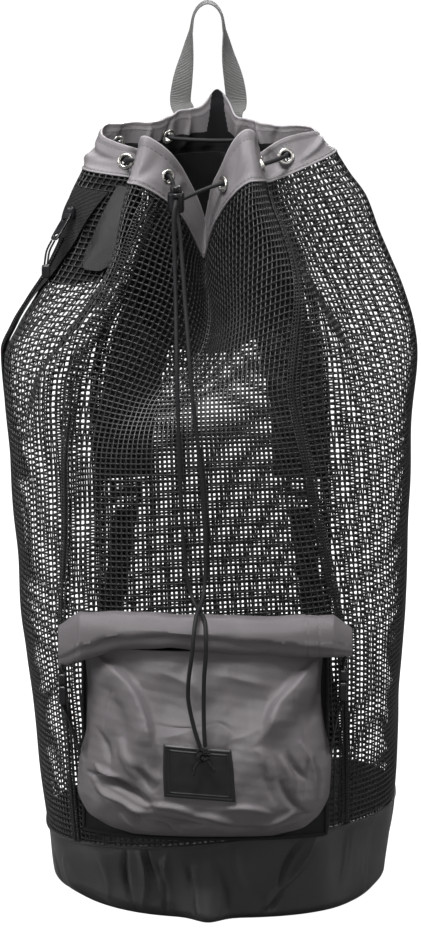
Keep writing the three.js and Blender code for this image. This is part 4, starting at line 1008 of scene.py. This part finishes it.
net_panel("net_front", lambda s: seam_angle("left", s), lambda s: seam_angle("right", s), -50, 39)
net_panel("net_right", lambda s: seam_angle("right", s), lambda s: BACK_SEAM + 0 * s, 39, 140)
net_panel("net_back", lambda s: BACK_SEAM + 0 * s, lambda s: 360 - BACK_SEAM + 0 * s, 140, 220, 4.8, 2.5)
net_panel("net_left", lambda s: -BACK_SEAM + 0 * s, lambda s: seam_angle("left", s), -140, -50)


def inside_cloth(start, end, columns, middle, reach, lowest, rise):
    """Black cloth inside the net between two angles, 2.6 mm in. Its lower edge rises from the lowest share
    at the middle angle by the rise times the square of the way to the reach."""
    angle = np.linspace(start, end, columns)[None]
    low = lowest + rise * ((angle - middle) / reach) ** 2
    share = low + (1 - low) * np.linspace(0, 1, 40)[:, None]
    return sheet_part(net_surface(angle, share) - level_out(net_point, angle, share) * 1.7, 0.8)


# The back cloth is painted shade: a black sheet inside the back net that darkens the view through it where the
# bag's inside lies in shadow, and stands in for the contents that are left out.
piece("back_shade_cloth", inside_cloth(BACK_SEAM, 360 - BACK_SEAM, 50, 180, 40, 0.66, 0.14), lining_and_shade_finish)
piece("zip_backing", inside_cloth(-108, -50, 60, -84, 34, 0.83, 0.10), lining_and_shade_finish)


def seam_parts(angle_at):
    """Doubled net over a seam: a close lattice four cells wide, 1.5 mm out of the net, with a thin rib down
    its middle."""
    share = np.linspace(0.0, 0.985, 210)[:, None]
    angle = angle_at(share)
    radius = np.linalg.norm(net_point(angle, share)[..., :2], axis=-1)
    turn = np.degrees(np.linspace(-5, 5, 5)[None] / radius)
    line = off_net(angle, share, 2.1)[:, 0]
    return [lattice_part(off_net(angle + turn, share, 1.5), 1.9, 1.3), {**tube_part(line, 1.1, 8), "shade": 1}]


for name, angle_at in (("seam_front_left", lambda s: seam_angle("left", s)),
                       ("seam_front_right", lambda s: seam_angle("right", s)),
                       ("seam_back_right", lambda s: BACK_SEAM + 0 * s),
                       ("seam_back_left", lambda s: -BACK_SEAM + 0 * s)):
    piece(f"{name}_strip", seam_parts(angle_at), [net_finish, backing_finish], [name], sharp=180)


# Collar

# Creases of the collar: from angle and height, to angle and height, width, and height of the fold.
COLLAR_CREASES = (
    (260, 34, 284, 22, 4, -4.0), (286, 46, 293, 6, 4, -3.5), (276, 22, 268, 3, 3.5, 3.0),
    (252, 44, 248, 8, 3.5, 2.5), (313, 46, 309, 4, 3, 2.5), (325, 40, 320, 4, 3, -2.5),
    (336, 40, 333, 6, 3.5, 2.5), (20, 46, 17, 6, 3, 2.5), (31, 46, 35, 6, 3.5, -3.0),
    (8, 40, 11, 6, 3, -2.0), (60, 46, 66, 4, 4, -4.0), (86, 40, 70, 10, 4, 3.5),
    (100, 42, 88, 5, 3.5, -3.5), (118, 44, 124, 6, 4, 3.0), (138, 46, 133, 6, 4, -3.0),
    (152, 46, 157, 8, 4, -2.6), (196, 42, 202, 5, 4, -3.0), (214, 44, 222, 8, 4, 3.0),
    (236, 44, 240, 5, 4, -3.0),
)


COLLAR_RADIUS = 110


def collar_parts():
    """The collar's cloth: its surface with small folds that grow towards the valleys, a raised hem at the
    top and a raised strip at the seam, holes under the rings, and a black lining inside, with a grey facing
    along its top that is left off at the back peak as painted shadow."""
    angle = np.linspace(0, 360, 620, endpoint=False)[None]
    share = np.linspace(0, 1, 27)[:, None]
    points = collar_point(angle, share)
    out = grid_out(points, True)
    run = np.radians(angle) * COLLAR_RADIUS
    hem = 0.9 * ease((share - 0.84) * 40) + 0.6 * (1 - ease((share - 0.10) * 30))
    uneven = 1.6 * ripples(run, share * 20, 11, 8, 30) * ease(share * 4)
    folds = [(np.radians(a) * COLLAR_RADIUS, b, np.radians(c) * COLLAR_RADIUS, d, width, height)
             for a, b, c, d, width, height in COLLAR_CREASES]
    uneven = uneven + creases(run, share * COLLAR_HEIGHT, folds) * ease(share * 6)
    points = points + out * (hem + uneven - 0.2)[..., None]
    uv = np.stack(np.broadcast_arrays(np.radians(angle) * 120, share * COLLAR_HEIGHT), axis=-1)
    inner = points - out * 1.8
    count = points.shape[0] * points.shape[1]
    faces = grid_faces(*points.shape[:2], True)
    middle = points.reshape(-1, 3)[faces].mean(axis=1)
    centres, axes = ring_seats()
    gap = np.min([np.linalg.norm(np.cross(middle - centre, axis), axis=1)
                  + 100 * (np.linalg.norm(middle - centre, axis=1) > 9) for centre, axis in zip(centres, axes)],
                 axis=0)
    kept = faces[gap > 6.2]
    edges = np.stack([kept, np.roll(kept, -1, axis=1)], axis=-1).reshape(-1, 2)
    code = np.sort(edges, axis=1) @ np.array([count, 1])
    _, first, times = np.unique(code, return_index=True, return_counts=True)
    rim = edges[first[times == 1]]
    walls = np.stack([rim[:, 1], rim[:, 0], rim[:, 0] + count, rim[:, 1] + count], axis=-1)
    place = uv.reshape(-1, 2)[kept].mean(axis=1)
    # The grey facing covers the lining above 21 mm, except within 17 mm of the back peak at 21 mm, narrowing to
    # 9 mm at the top: that triangle stays black as painted shadow inside the peak's fold.
    off_peak = np.abs(place[:, 0] - np.radians(BACK_PEAK) * 120)
    facing_less_painted_shadow = (place[:, 1] > 21) & (off_peak > 17 - 0.3 * (place[:, 1] - 21))
    lined = (kept + count)[:, ::-1]
    everything = np.concatenate([points.reshape(-1, 3), inner.reshape(-1, 3)])
    return [part(everything, [kept, lined[facing_less_painted_shadow], walls, lined[~facing_less_painted_shadow]], np.tile(uv.reshape(-1, 2), (2, 1)),
                 (0, 0, 0, 1))]


piece("collar_cloth", collar_parts(), [collar_finish, lining_and_shade_finish], ["collar"])


def seam_line():
    """The line of the collar's seam all round, 0.4 mm out of the surface."""
    angle = np.linspace(0, 360, 480, endpoint=False)
    return collar_point(angle, 0.0) + level_out(collar_point, angle, 0.0) * 0.4


piece("collar_piping", [tube_part(seam_line(), 1.1, 8, closed=True)], piping_finish)


# Base

# Creases of the base: from angle and height, to angle and height, width, and height of the fold.
BASE_CREASES = (
    (-33.5, 84, -33, 6, 1.2, -3.4), (-31, 84, -31, 6, 1.5, 2.6), (-27, 84, -24, 40, 1.2, -3.0),
    (-24, 62, -22, 2, 1.6, -3.6), (-20, 70, -18, 6, 2.2, 3.6), (-13, 60, -11, 4, 1.8, -3.2),
    (-9, 54, -6, 2, 2.2, 3.6), (-2, 60, 2, 0, 2.4, -2.6), (6, 74, 10, 30, 2.6, 1.6),
    (36, 80, 24, 30, 1.5, 3.2), (33, 76, 22, 26, 1.3, -3.6), (24, 30, 15, 2, 1.7, -3.4),
    (26, 36, 18, 4, 1.8, 3.0), (48, 80, 46, 20, 2.4, -1.6), (60, 70, 58, 6, 2.4, 1.8),
    (-46, 70, -44, 10, 2.2, 1.8), (-62, 60, -58, 6, 2.2, 1.8), (-74, 50, -70, 4, 2.2, -1.8),
    (84, 70, 80, 10, 2.4, -1.8), (110, 74, 106, 8, 2.2, 2.2), (136, 70, 138, 6, 2.2, -2.0),
    (160, 76, 158, 10, 2.0, 2.0), (-160, 72, -158, 6, 2.2, 2.2), (-130, 70, -134, 8, 2.2, -2.0),
    (-104, 74, -108, 10, 2.2, 2.0),
)


BASE_DEGREE = 2.6


def base_parts():
    """The base: its wall with creases and soft unevenness, a rounded lower edge, a floor and a lining."""
    columns, rows = 520, 44
    angle = np.linspace(-180, 180, columns, endpoint=False)[None]
    share = (np.linspace(0, 1, rows + 1) ** 1.15)[:, None]
    wall = base_point(angle, share)
    out = grid_out(wall, True)
    fade = ease(share * 7) * ease((1 - share) * 8)
    run = angle * BASE_DEGREE
    folds = creases(run, share * 80, [(a * BASE_DEGREE, b, c * BASE_DEGREE, d, 1.7 * width, height)
                                      for a, b, c, d, width, height in BASE_CREASES])
    uneven = 1.5 * ripples(run, share * 60, 21, 8, 70) + 1.4 * folds
    wall = wall + out * (uneven * fade)[..., None]
    uv = np.stack(np.broadcast_arrays(run, share * BASE_HEIGHT), axis=-1)
    shares = np.array([0.97, 0.85, 0.6, 0.3, 0.02])[:, None, None]
    middle = wall[0].mean(axis=0)
    floor = middle + (wall[0][None] - middle) * shares
    floor[..., 2] = 0.0
    under = np.concatenate([floor[::-1], wall[:1]])
    inner = (wall - out * 2.2)[::-1]
    inner[..., 2] = np.maximum(inner[..., 2], 3.0)
    top = np.concatenate([wall[-1:], inner])
    inside_floor = np.concatenate([inner[-1:], floor + [0, 0, 3.0]])
    last = (len(inside_floor) - 1) * columns
    return [part(wall, grid_faces(rows + 1, columns, True), uv),
            part(under, [grid_faces(len(under), columns, True), np.arange(columns)[None, ::-1]],
                 under[..., :2]),
            part(top, grid_faces(len(top), columns, True), np.concatenate([uv[-1:], uv[::-1]])),
            part(inside_floor, [grid_faces(len(inside_floor), columns, True), last + np.arange(columns)[None]],
                 inside_floor[..., :2])]


piece("base_cloth", base_parts(), base_finish, ["base"])


def rim_binding():
    """The base's rim: a flat rolled binding over the joint of net and base."""
    angle = np.linspace(-180, 180, 480, endpoint=False)
    return tube_part(off_net(angle, 0.0, 0.1) - [0, 0, 2.0], 1.3, 10, closed=True)


piece("base_binding", [rim_binding()], base_finish)


# Flat front and back of the body

def level_depth(across, height):
    """Depth of the body's face at a place across and a height: d (1 - |x|^2.5)^(1 / 2.5)."""
    wide, deep, shift = section(height / MOUTH_HEIGHT)
    share = np.minimum(0.98, np.abs(across - shift) / wide)
    return deep * (1 - share ** BODY_SQUARENESS) ** (1 / BODY_SQUARENESS)


def face_point(side, across, height, distance):
    """Points on the flat front or back, moved out level by a distance."""
    across, height, distance = np.broadcast_arrays(*(np.asarray(x, float) for x in (across, height, distance)))
    slope = level_depth(across + 0.5, height) - level_depth(across - 0.5, height)
    out = unit(np.stack([-slope, side + 0 * slope, 0 * slope], axis=-1))
    return np.stack([across, side * level_depth(across, height), height], axis=-1) + out * distance[..., None]


# Pocket

POCKET_MIDDLE = -8
POCKET_FLOOR = 95
POCKET_HEIGHT = 196
POCKET_HALF_WIDTH = 124
POCKET_DEPTH = 44
POUCH_STAND_OFF = 4.9
# Pouch: share of its height, half width left and right and depth, as shares of the pocket's.
POUCH_ROWS = np.array([
    (0.00, 0.60, 0.58, 0.03), (0.04, 0.80, 0.78, 0.42), (0.12, 0.96, 0.94, 0.80), (0.24, 1.02, 1.01, 0.97),
    (0.42, 1.00, 1.02, 1.00), (0.60, 0.95, 0.97, 0.92), (0.80, 0.95, 0.94, 0.74), (1.00, 0.98, 0.96, 0.58),
])


def backing_parts():
    """The pocket's backing: a flat sheet on the net with a rounded binding over its four edges."""
    across = POCKET_MIDDLE + np.linspace(-POCKET_HALF_WIDTH, POCKET_HALF_WIDTH, 44)
    height = 92 + np.linspace(0, 236, 44)
    sheet = face_point(-1, across[None], height[:, None], 3.3)
    uneven = 0.5 * ripples(across[None], height[:, None], 31, 6, 50)
    sheet[..., 1] -= uneven * ease((across + 132) / 20)[None] * ease((116 - across) / 20)[None] * 0.6
    edge = np.concatenate([sheet[0], sheet[1:, -1], sheet[-1, -2::-1], sheet[-2:0:-1, 0]])
    edge[:, 1] += 0.9
    return sheet_part(sheet, 1.8) + [tube_part(edge, 2.6, 10, closed=True)]


piece("pocket_back", backing_parts(), backing_finish, ["pocket_backing"])


def pouch_point(across, share):
    """Points of the pouch: across goes from -1 to 1 and share goes up. It stands out by its depth times
    the square root of 1 - |across|^3."""
    across, share = np.broadcast_arrays(np.asarray(across, float), np.asarray(share, float))
    left = read_rows(POUCH_ROWS[:, 0], POUCH_ROWS[:, 1], share)
    right = read_rows(POUCH_ROWS[:, 0], POUCH_ROWS[:, 2], share)
    side = np.where(across < 0, left, right) * POCKET_HALF_WIDTH
    deep = read_rows(POUCH_ROWS[:, 0], POUCH_ROWS[:, 3], share) * POCKET_DEPTH
    bulge = np.sqrt(np.maximum(0, 1 - np.minimum(1, np.abs(across)) ** 3))
    return face_point(-1, POCKET_MIDDLE + across * side, POCKET_FLOOR + share * POCKET_HEIGHT,
                      POUCH_STAND_OFF + deep * bulge)


# Creases of the pouch: from across and height, to across and height, width, and height of the fold.
POUCH_CREASES = (
    (-34, 274, -40, 216, 26, -8), (-104, 252, -92, 206, 8, -3), (30, 274, 34, 216, 26, -8),
    (106, 258, 98, 220, 7, -3), (-100, 262, -110, 206, 1.2, -1.5), (-110, 206, -110, 170, 1.2, -1.5),
    (79, 258, 89, 232, 1.2, -1.5), (89, 232, 90, 138, 1.2, -1.5), (-122, 178, -98, 168, 3, 6),
    (-126, 166, -64, 140, 3.6, -12), (-122, 158, -66, 132, 4, 8), (-116, 146, -70, 116, 3, -8),
    (-98, 130, -52, 106, 3.4, 5), (-66, 140, -12, 128, 3.6, 5), (-56, 128, -10, 118, 3, -6),
    (-62, 120, -34, 100, 2.6, -5), (-44, 118, -24, 100, 2.6, 4), (-22, 130, 24, 118, 3, 4.5),
    (-6, 122, 44, 112, 3, -4.5), (12, 138, 62, 130, 3, 4), (40, 118, 88, 134, 3, 4.5),
    (56, 106, 100, 124, 3, -6), (64, 102, 104, 114, 3, 4), (66, 196, 82, 150, 3.6, 4.5),
    (76, 200, 98, 164, 3, -5), (90, 204, 106, 150, 3, 5), (70, 170, 96, 126, 3.4, -6),
    (100, 190, 108, 130, 2.6, -4), (56, 196, 66, 140, 3.4, -3.5), (44, 206, 58, 166, 5, 4),
    (-96, 212, -74, 168, 5, 4.5), (-86, 182, -60, 154, 4, -5), (-70, 186, -54, 166, 4, 3.5),
    (-118, 214, -108, 178, 3, -3.5), (-60, 228, 2, 231, 1.2, -1.4), (2, 231, 18, 222, 1.2, -1.4),
    (19, 221, 21, 140, 1.2, -1.4), (-60, 228, -62, 206, 1.2, -1.2),
)

# Lines of the wing folds: across and height.
WING_LEFT = ((-124, 295), (-106, 284), (-89, 272), (-77, 257), (-70, 241), (-65, 222), (-62, 203), (-54, 182))
WING_RIGHT = ((112, 290), (92, 277), (76, 262), (65, 250), (58, 237), (54, 222), (44, 204))


def pouch_detail(points):
    """How far the cloth stands out at each point: wings, creases and a soft unevenness."""
    return (creases(points[..., 0], points[..., 2], POUCH_CREASES)
            + wing_fold(points[..., 0], points[..., 2], WING_LEFT, 12, -1)
            + wing_fold(points[..., 0], points[..., 2], WING_RIGHT, 12, 1)
            + 0.9 * ripples(points[..., 0], points[..., 2], 41, 8, 60)
            + 0.3 * ripples(points[..., 0], points[..., 2], 42, 8, 17))


def pouch_parts():
    """The pouch: its surface with wing folds, weld lines and wrinkles that fade at its edges."""
    columns, rows = 180, 156
    across = np.sin(np.linspace(-np.pi / 2, np.pi / 2, columns + 1))[None]
    share = np.linspace(0, 1.06, rows + 1)[:, None]
    points = pouch_point(across, np.minimum(share, 1))
    points[..., 2] += (share - np.minimum(share, 1)) * POCKET_HEIGHT
    out = grid_out(points)
    fade = ease((1 - np.abs(across)) * 12) * ease(share * 9)
    points = points + out * (pouch_detail(points) * fade)[..., None]
    return sheet_part(points, 1.6)


piece("pouch", pouch_parts(), pocket_finish, ["pocket_front"])

ROLL_HALF_WIDTH = 151
ROLL_HALF_HEIGHT = 21
ROLL_HALF_DEPTH = 20

# Roll: place along it, and its rise, height and depth as shares of the half height and half depth.
ROLL_ROWS = np.array([
    (-1.00, -1.00, 1.08, 0.50), (-0.85, -0.30, 1.24, 0.80), (-0.60, 0.15, 0.92, 0.95),
    (-0.25, 0.20, 0.82, 1.00), (0.10, 0.02, 0.90, 1.00), (0.50, -0.08, 0.96, 0.95),
    (0.87, -0.24, 1.06, 0.80), (1.00, -0.66, 0.70, 0.50),
])
ROLL_HEIGHT = POCKET_FLOOR + POCKET_HEIGHT + ROLL_HALF_HEIGHT * 1.34


# Layers on each end of the roll: size, and how far each stands out.
SPIRAL = ((0.9, 0.0), (0.82, -1.6), (0.72, 0.2), (0.62, -1.6), (0.5, 0.2), (0.38, -1.4), (0.02, 0))


def roll_parts():
    """The rolled top: rings of a superellipse along its length, the outer layer's edge as a step below the
    middle of the front, folds at the ends, and a spiral of layers on each end."""
    columns = 60
    along = np.linspace(-1, 1, 240)
    rise, tall, deep = (np.interp(along, ROLL_ROWS[:, 0], ROLL_ROWS[:, k]) for k in (1, 2, 3))
    across = POCKET_MIDDLE + along * ROLL_HALF_WIDTH
    height = ROLL_HEIGHT + rise * ROLL_HALF_HEIGHT
    stand = 3.3 + 0.6 + ROLL_HALF_DEPTH * deep
    middle = face_point(-1, POCKET_MIDDLE + 0.72 * (across - POCKET_MIDDLE), height, 0.0)[:, 1]
    turn = np.linspace(0, 2 * np.pi, columns, endpoint=False)
    power = 2 / 2.6
    forward = signed_power(np.cos(turn), power)
    lift = signed_power(np.sin(turn), power)
    edge_lift = -0.30 + 0.40 * np.cos(1.9 * along + 0.25)
    below = ease((edge_lift[:, None] - lift[None]) * 9) * ease(forward[None] * 6)
    layer = 1 - 0.20 * below
    wrinkle = 0.9 * ripples(across[:, None], 22 * turn[None], 51, 8, 45)
    seam = sum(np.exp(-((along * ROLL_HALF_WIDTH + POCKET_MIDDLE - line) / 0.9) ** 2)
               for line in (-141, 96, 108))
    swell = 1 + 0.028 * wrinkle * ease((1 - np.abs(along)) * 8)[:, None] - 0.035 * seam[:, None]
    x = np.broadcast_to(across[:, None], below.shape)
    y = (middle - stand)[:, None] - forward[None] * (deep * ROLL_HALF_DEPTH)[:, None] * layer * swell
    z = height[:, None] + lift[None] * (tall * ROLL_HALF_HEIGHT)[:, None] * swell
    points = np.stack([x, y, z], axis=-1)
    uv = np.stack(np.broadcast_arrays(across[:, None], 22 * turn[None]), axis=-1)
    parts = [part(points, grid_faces(len(along), columns, True), uv)]
    for end, flip in ((0, True), (len(along) - 1, False)):
        ring = points[end]
        centre = ring.mean(axis=0)
        cap = np.stack([ring] + [centre + (ring - centre) * shrink + [push * (1 if end else -1), 0, 0]
                                 for shrink, push in SPIRAL])
        last = (len(cap) - 1) * columns
        faces = [grid_faces(len(cap), columns, True, flip=flip), last + np.arange(columns)[None]]
        parts.append(part(cap, faces, cap[..., 1:]))
    return parts


piece("roll", roll_parts(), pocket_finish, ["pocket_roll"])


def patch_parts():
    """The patch: a plate on the pouch with a raised double frame, and a bare, softly pebbled middle."""
    half_across = 33 / POCKET_HALF_WIDTH
    half_share = 28 / POCKET_HEIGHT
    u = np.linspace(-1, 1, 90)[None]
    v = np.linspace(-1, 1, 72)[:, None]
    points = pouch_point(-0.04 + half_across * u - 0.014 * v, 0.42 + half_share * v - 0.014 * u)
    fold = pouch_detail(points)
    edge = np.minimum((1 - np.abs(u)) * 35, (1 - np.abs(v)) * 28)
    frame_lift = 1.0 * np.exp(-((edge - 2.0) / 0.8) ** 2) + 0.8 * np.exp(-((edge - 5.4) / 0.7) ** 2)
    round_edge = -0.5 * (1 - ease(edge / 1.0))
    points[..., 1] -= 2.4 + np.maximum(fold, 0) * 0.3 + frame_lift + round_edge
    return sheet_part(points, 1.8)


piece("patch", patch_parts(), rubber, ["pocket_patch"])

# Side fastenings: name, and places of strap top, buckle, bend and foot.
FASTENINGS = (
    ("left", (-156, -165, 283.4), (-155, -164, 257), (-151.5, -160, 230), (-137.6, -157, 184)),
    ("right", (136, -167, 295.2), (134, -167, 262), (130.5, -163, 234), (121.2, -160, 186)),
)
FASTENING_WIDTH = 20
FASTENING_THICKNESS = 1.6
STRAP_TO_BUCKLE = 17.3


def strap_piece(name, points, stands_for):
    """A side strap: webbing through points in the plane of x and z, its width along y."""
    line = catmull(points, 8)
    along = unit(np.gradient(line, axis=0))
    across = np.tile([0.0, 1.0, 0.0], (len(line), 1))
    out = unit(np.cross(across, along))
    piece(name, [ribbon_part(line, across, out, FASTENING_WIDTH, FASTENING_THICKNESS)], webbing_finish,
          [stands_for])


def make_fastening(name, *places):
    """A side fastening: a strap down from the roll, a socket with its prongs in it, and a strap to the foot."""
    top, buckle, low, foot = (np.array(place, float) for place in places)
    strap_piece(f"roll_web_{name}", [top, buckle + (0, 0, STRAP_TO_BUCKLE)], f"roll_strap_{name}")
    strap_piece(f"pocket_web_{name}", [buckle - (0, 0, STRAP_TO_BUCKLE), low, foot], f"pocket_strap_{name}")
    socket_at = buckle - (0, 0, 6.46)
    socket = piece(f"socket_{name}", [block_part(socket_at, (8, 25, 21.08), power=7, steps=24)], plastic,
                   [f"buckle_socket_{name}"])
    carve(socket, [cutter_object([box_part(socket_at + (0, 0, 3), (4.4, 21, 21.1))]),
                   cutter_object([block_part(socket_at, (20, 12.5, 9.5), power=5, steps=16)])])
    prongs_at = buckle + (0, 0, 10.69)
    ear = block_part(prongs_at - (0, 0, 12), (3.2, 4.4, 13), power=4, steps=12)
    ears = [{**ear, "points": ear["points"] + (0, shift, 0)} for shift in (-6.3, 6.3)]
    bar = block_part(prongs_at, (8, 25, 12.6), power=7, steps=20)
    piece(f"prongs_{name}", [bar] + ears, plastic, [f"buckle_prongs_{name}"])


for fastening in FASTENINGS:
    make_fastening(*fastening)


# Haul loop

# Haul loop: across, height over the collar, and turn in degrees from flat.
HAUL_ANGLES = (197.5, 163)
HAUL_ROWS = np.array([
    (-34, 5, 0), (-32, 28, 22), (-27, 55, 55), (-23, 81, 84), (-19.5, 100, 90), (-13, 109, 90), (-5.5, 112, 90),
    (2, 109, 90), (8.5, 100, 90), (12, 81, 84), (16, 55, 55), (22, 28, 22), (24.5, 5, 0),
])


def haul_parts():
    """The haul loop: webbing sewn flat on the collar's back, turning edge-on as it rises over the top."""
    shares = np.array([0.12, 0.5, 0.86])
    back = collar_point(BACK_PEAK, 1)[1] + 10.5
    free = np.stack([HAUL_ROWS[:, 0], 0 * HAUL_ROWS[:, 0] + back,
                     MOUTH_HEIGHT + COLLAR_HEIGHT + HAUL_ROWS[:, 1]], axis=-1)
    feet = [collar_point(angle, order) + level_out(collar_point, angle, order) * 2.9
            for angle, order in zip(HAUL_ANGLES, (shares, shares[::-1]))]
    chosen = np.vstack([feet[0], free, feet[1]])
    behind = np.vstack([level_out(collar_point, HAUL_ANGLES[0], shares),
                        np.tile([0.0, 1.0, 0.0], (len(free), 1)),
                        level_out(collar_point, HAUL_ANGLES[1], shares[::-1])])
    turns = np.concatenate([[0, 0, 0], HAUL_ROWS[:, 2], [0, 0, 0]])
    line = catmull(chosen, 6)
    place = np.linspace(0, len(chosen) - 1, len(line))
    behind = np.stack([np.interp(place, np.arange(len(chosen)), behind[:, k]) for k in range(3)], axis=-1)
    turn = np.radians(np.interp(place, np.arange(len(chosen)), turns))[:, None]
    along = unit(np.gradient(line, axis=0))
    flat = unit(np.cross(along, behind))
    deep = np.cross(flat, along)
    across = flat * np.cos(turn) + deep * np.sin(turn)
    return [ribbon_part(line, across, np.cross(across, along), 22, 2, 12)]


piece("haul_webbing_loop", haul_parts(), haul_finish, ["haul_loop"])


# Zip

ZIP_TOP, ZIP_LOW = -78, -143
SLIDER_SHARE = 0.94
TAB_LENGTH = 36
PULL_SPREAD = 1.9


def zip_angle(share):
    """Angle of the zip at a share of the net's height: -143 at the net's foot and -78 at the mouth."""
    return ZIP_LOW + (ZIP_TOP - ZIP_LOW) * share


def beside(angle, share, sideways, distance):
    """Points beside an angle: sideways is a run across in millimetres, and distance is how far out of the
    net they lie."""
    angle, share, sideways = np.broadcast_arrays(*(np.asarray(x, float) for x in (angle, share, sideways)))
    radius = np.linalg.norm(net_point(angle, share)[..., :2], axis=-1)
    return off_net(angle + np.degrees(sideways / radius), share, distance)


def band_parts():
    """The zip's tape, 24 mm wide."""
    share = np.linspace(0.5, 0.975, 90)[:, None]
    return sheet_part(beside(zip_angle(share), share, np.linspace(-12, 12, 13)[None], 2.6), 1.0)


def coil_parts():
    """The zip's coils: two rows of small rounded teeth that mesh in the middle, and a flat cord under them."""
    shares = np.linspace(0.5, 0.9, 110)
    parts = []
    for side in (-1, 1):
        moved = shares + side * 0.0014 / 2
        parts += [block_part(middle, (1.6, 4.4, 1.3), power=4, steps=4)
                  for middle in beside(zip_angle(moved), moved, side * 1.4, 4.2)]
    return parts + [tube_part(beside(zip_angle(shares), shares, 0.0, 3.6), 2.6, 6, squash=0.5)]


def make_pull():
    """The slider, its tab with two holes, and two cords from the tab to a grip."""
    angle = zip_angle(SLIDER_SHARE)
    out = level_out(net_point, angle, SLIDER_SHARE)
    place = net_point(angle, SLIDER_SHARE) + out * 7.0
    axes = np.array([out, np.cross([0, 0, 1], out), [0, 0, 1]])
    piece("slider", [block_part(place, (6, 9, 13), power=5, steps=16, axes=axes)], plastic,
          ["zip_slider"])
    start = place + out * 3.3
    along = out + np.array([0, 0, -0.9])
    along /= np.linalg.norm(along)
    end = start + along * TAB_LENGTH
    side = np.cross(along, [0, 0, 1])
    side /= np.linalg.norm(side)
    face = np.cross(along, side)
    tab = piece("tab", [block_part((start + end) / 2, (TAB_LENGTH, 9, 2.4), power=6, steps=20,
                                   axes=np.array([along, side, face]))], plastic, ["zip_tab"])
    holes = [start + (end - start) * share + np.outer((-4, 0, 4), face) for share in (0.26, 0.815)]
    carve(tab, [cutter_object([tube_part(hole, 2.2, 24)]) for hole in holes])
    grip = end + np.array([-8, 0, -33.0])
    for number, hand in ((1, -1), (2, 1)):
        first = end + along * 0.7 + side * hand * PULL_SPREAD
        last = grip + side * hand * PULL_SPREAD + (0, 0, 7.3)
        line = catmull([first, (first + last) / 2 + (-1.5, 0, 1.5), last], 8)
        piece(f"pull_cord_{number}", [tube_part(line, 1.0, 10)], cord_finish,
              [f"zip_pull_cord_{number}"])
    piece("pull_grip", [block_part(grip, (9, 6.3, 14), power=5, steps=16)], plastic,
          ["zip_pull_end"])


def garage_parts():
    """The cloth over the zip's end, 22 mm wide, with a rounded lower end: it rises from share 0.86 by 0.03
    times the fourth power of the way to the side."""
    sideways = np.linspace(-11, 11, 25)[None]
    low = 0.86 + 0.03 * (sideways / 11) ** 4
    share = low + (0.985 - low) * np.linspace(0, 1, 30)[:, None]
    return sheet_part(beside(zip_angle(share) + 14, share, sideways, 3.4), 1.2)


piece("zip_band", band_parts(), webbing_finish, ["zip_tape"])
piece("zip_coils", coil_parts(), plastic, ["zip_teeth"])
make_pull()
piece("garage", garage_parts(), garage_finish, ["zip_garage"])


# Shoulder straps

PAD_LOW = 400
LADDER_HEIGHT = PAD_LOW - 16.7
WEB_TOP = LADDER_HEIGHT - 14 - 2.1
WEB_LOW = 104


def back_stations(middles):
    """Directions across and out for webbing on the back."""
    along = unit(np.gradient(middles, axis=0))
    back = face_point(1, middles[:, 0], middles[:, 2], 1.0) - face_point(1, middles[:, 0], middles[:, 2], 0.0)
    across = unit(np.cross(along, back))
    return across, np.cross(across, along)


def make_pad(name, hand):
    """A padded strap that bulges 42 mm off the back, with piped edges, a webbing runner and two end bars."""
    share = np.linspace(0, 1, 80)
    height = 742 - 342 * share
    middles = face_point(1, hand * (34 + 58 * ease(share)), height, 1.3 + 5.5 + 42 * np.sin(np.pi * share))
    across, out = back_stations(middles)
    trims = [tube_part(middles + across * side * 29.4, 1.9, 8) for side in (-1, 1)]
    trims.append(ribbon_part(middles + out * 5.9, across, out, 25, 1.6))
    trims += [ribbon_part(middles[rows] + out[rows] * 6.3, across[rows], out[rows], 29, 1.8)
              for rows in (slice(2, 8), slice(72, 78))]
    parts = [ribbon_part(middles, across, out, 60, 11, 24)] + [{**trim, "shade": 1} for trim in trims]
    piece(f"pad_{name}", parts, [pad_finish, webbing_finish],
                    [f"shoulder_strap_{name}"])


def make_ladder(name, hand):
    """A strap adjuster: a rounded plate with two slots."""
    place = face_point(1, hand * 92, LADDER_HEIGHT, 7.3)
    out = face_point(1, hand * 92, LADDER_HEIGHT, 1.0) - face_point(1, hand * 92, LADDER_HEIGHT, 0.0)
    axes = np.array([out, np.cross([0, 0, 1], out), [0, 0, 1]])
    plate = piece(f"ladder_{name}", [block_part(place, (5, 34, 28), power=8, steps=24, axes=axes)], plastic,
                  [f"strap_adjuster_{name}"])
    carve(plate, [cutter_object([block_part(place + (0, 0, shift * 28), (14, 26, 6.1), power=6, steps=12,
                                            axes=axes)]) for shift in (-0.26, 0.26)])


def strap_web_parts(hand):
    """The webbing from the adjuster down to the base."""
    share = np.linspace(0, 1, 50)
    middles = face_point(1, hand * (92 + 36 * share), WEB_TOP + (WEB_LOW - WEB_TOP) * share, 4.7)
    return [ribbon_part(middles, *back_stations(middles), 25, 1.8)]


for hand, name in ((-1, "left"), (1, "right")):
    make_pad(name, hand)
    make_ladder(name, hand)
    piece(f"strap_web_{name}", strap_web_parts(hand), webbing_finish,
          [f"strap_webbing_{name}"])
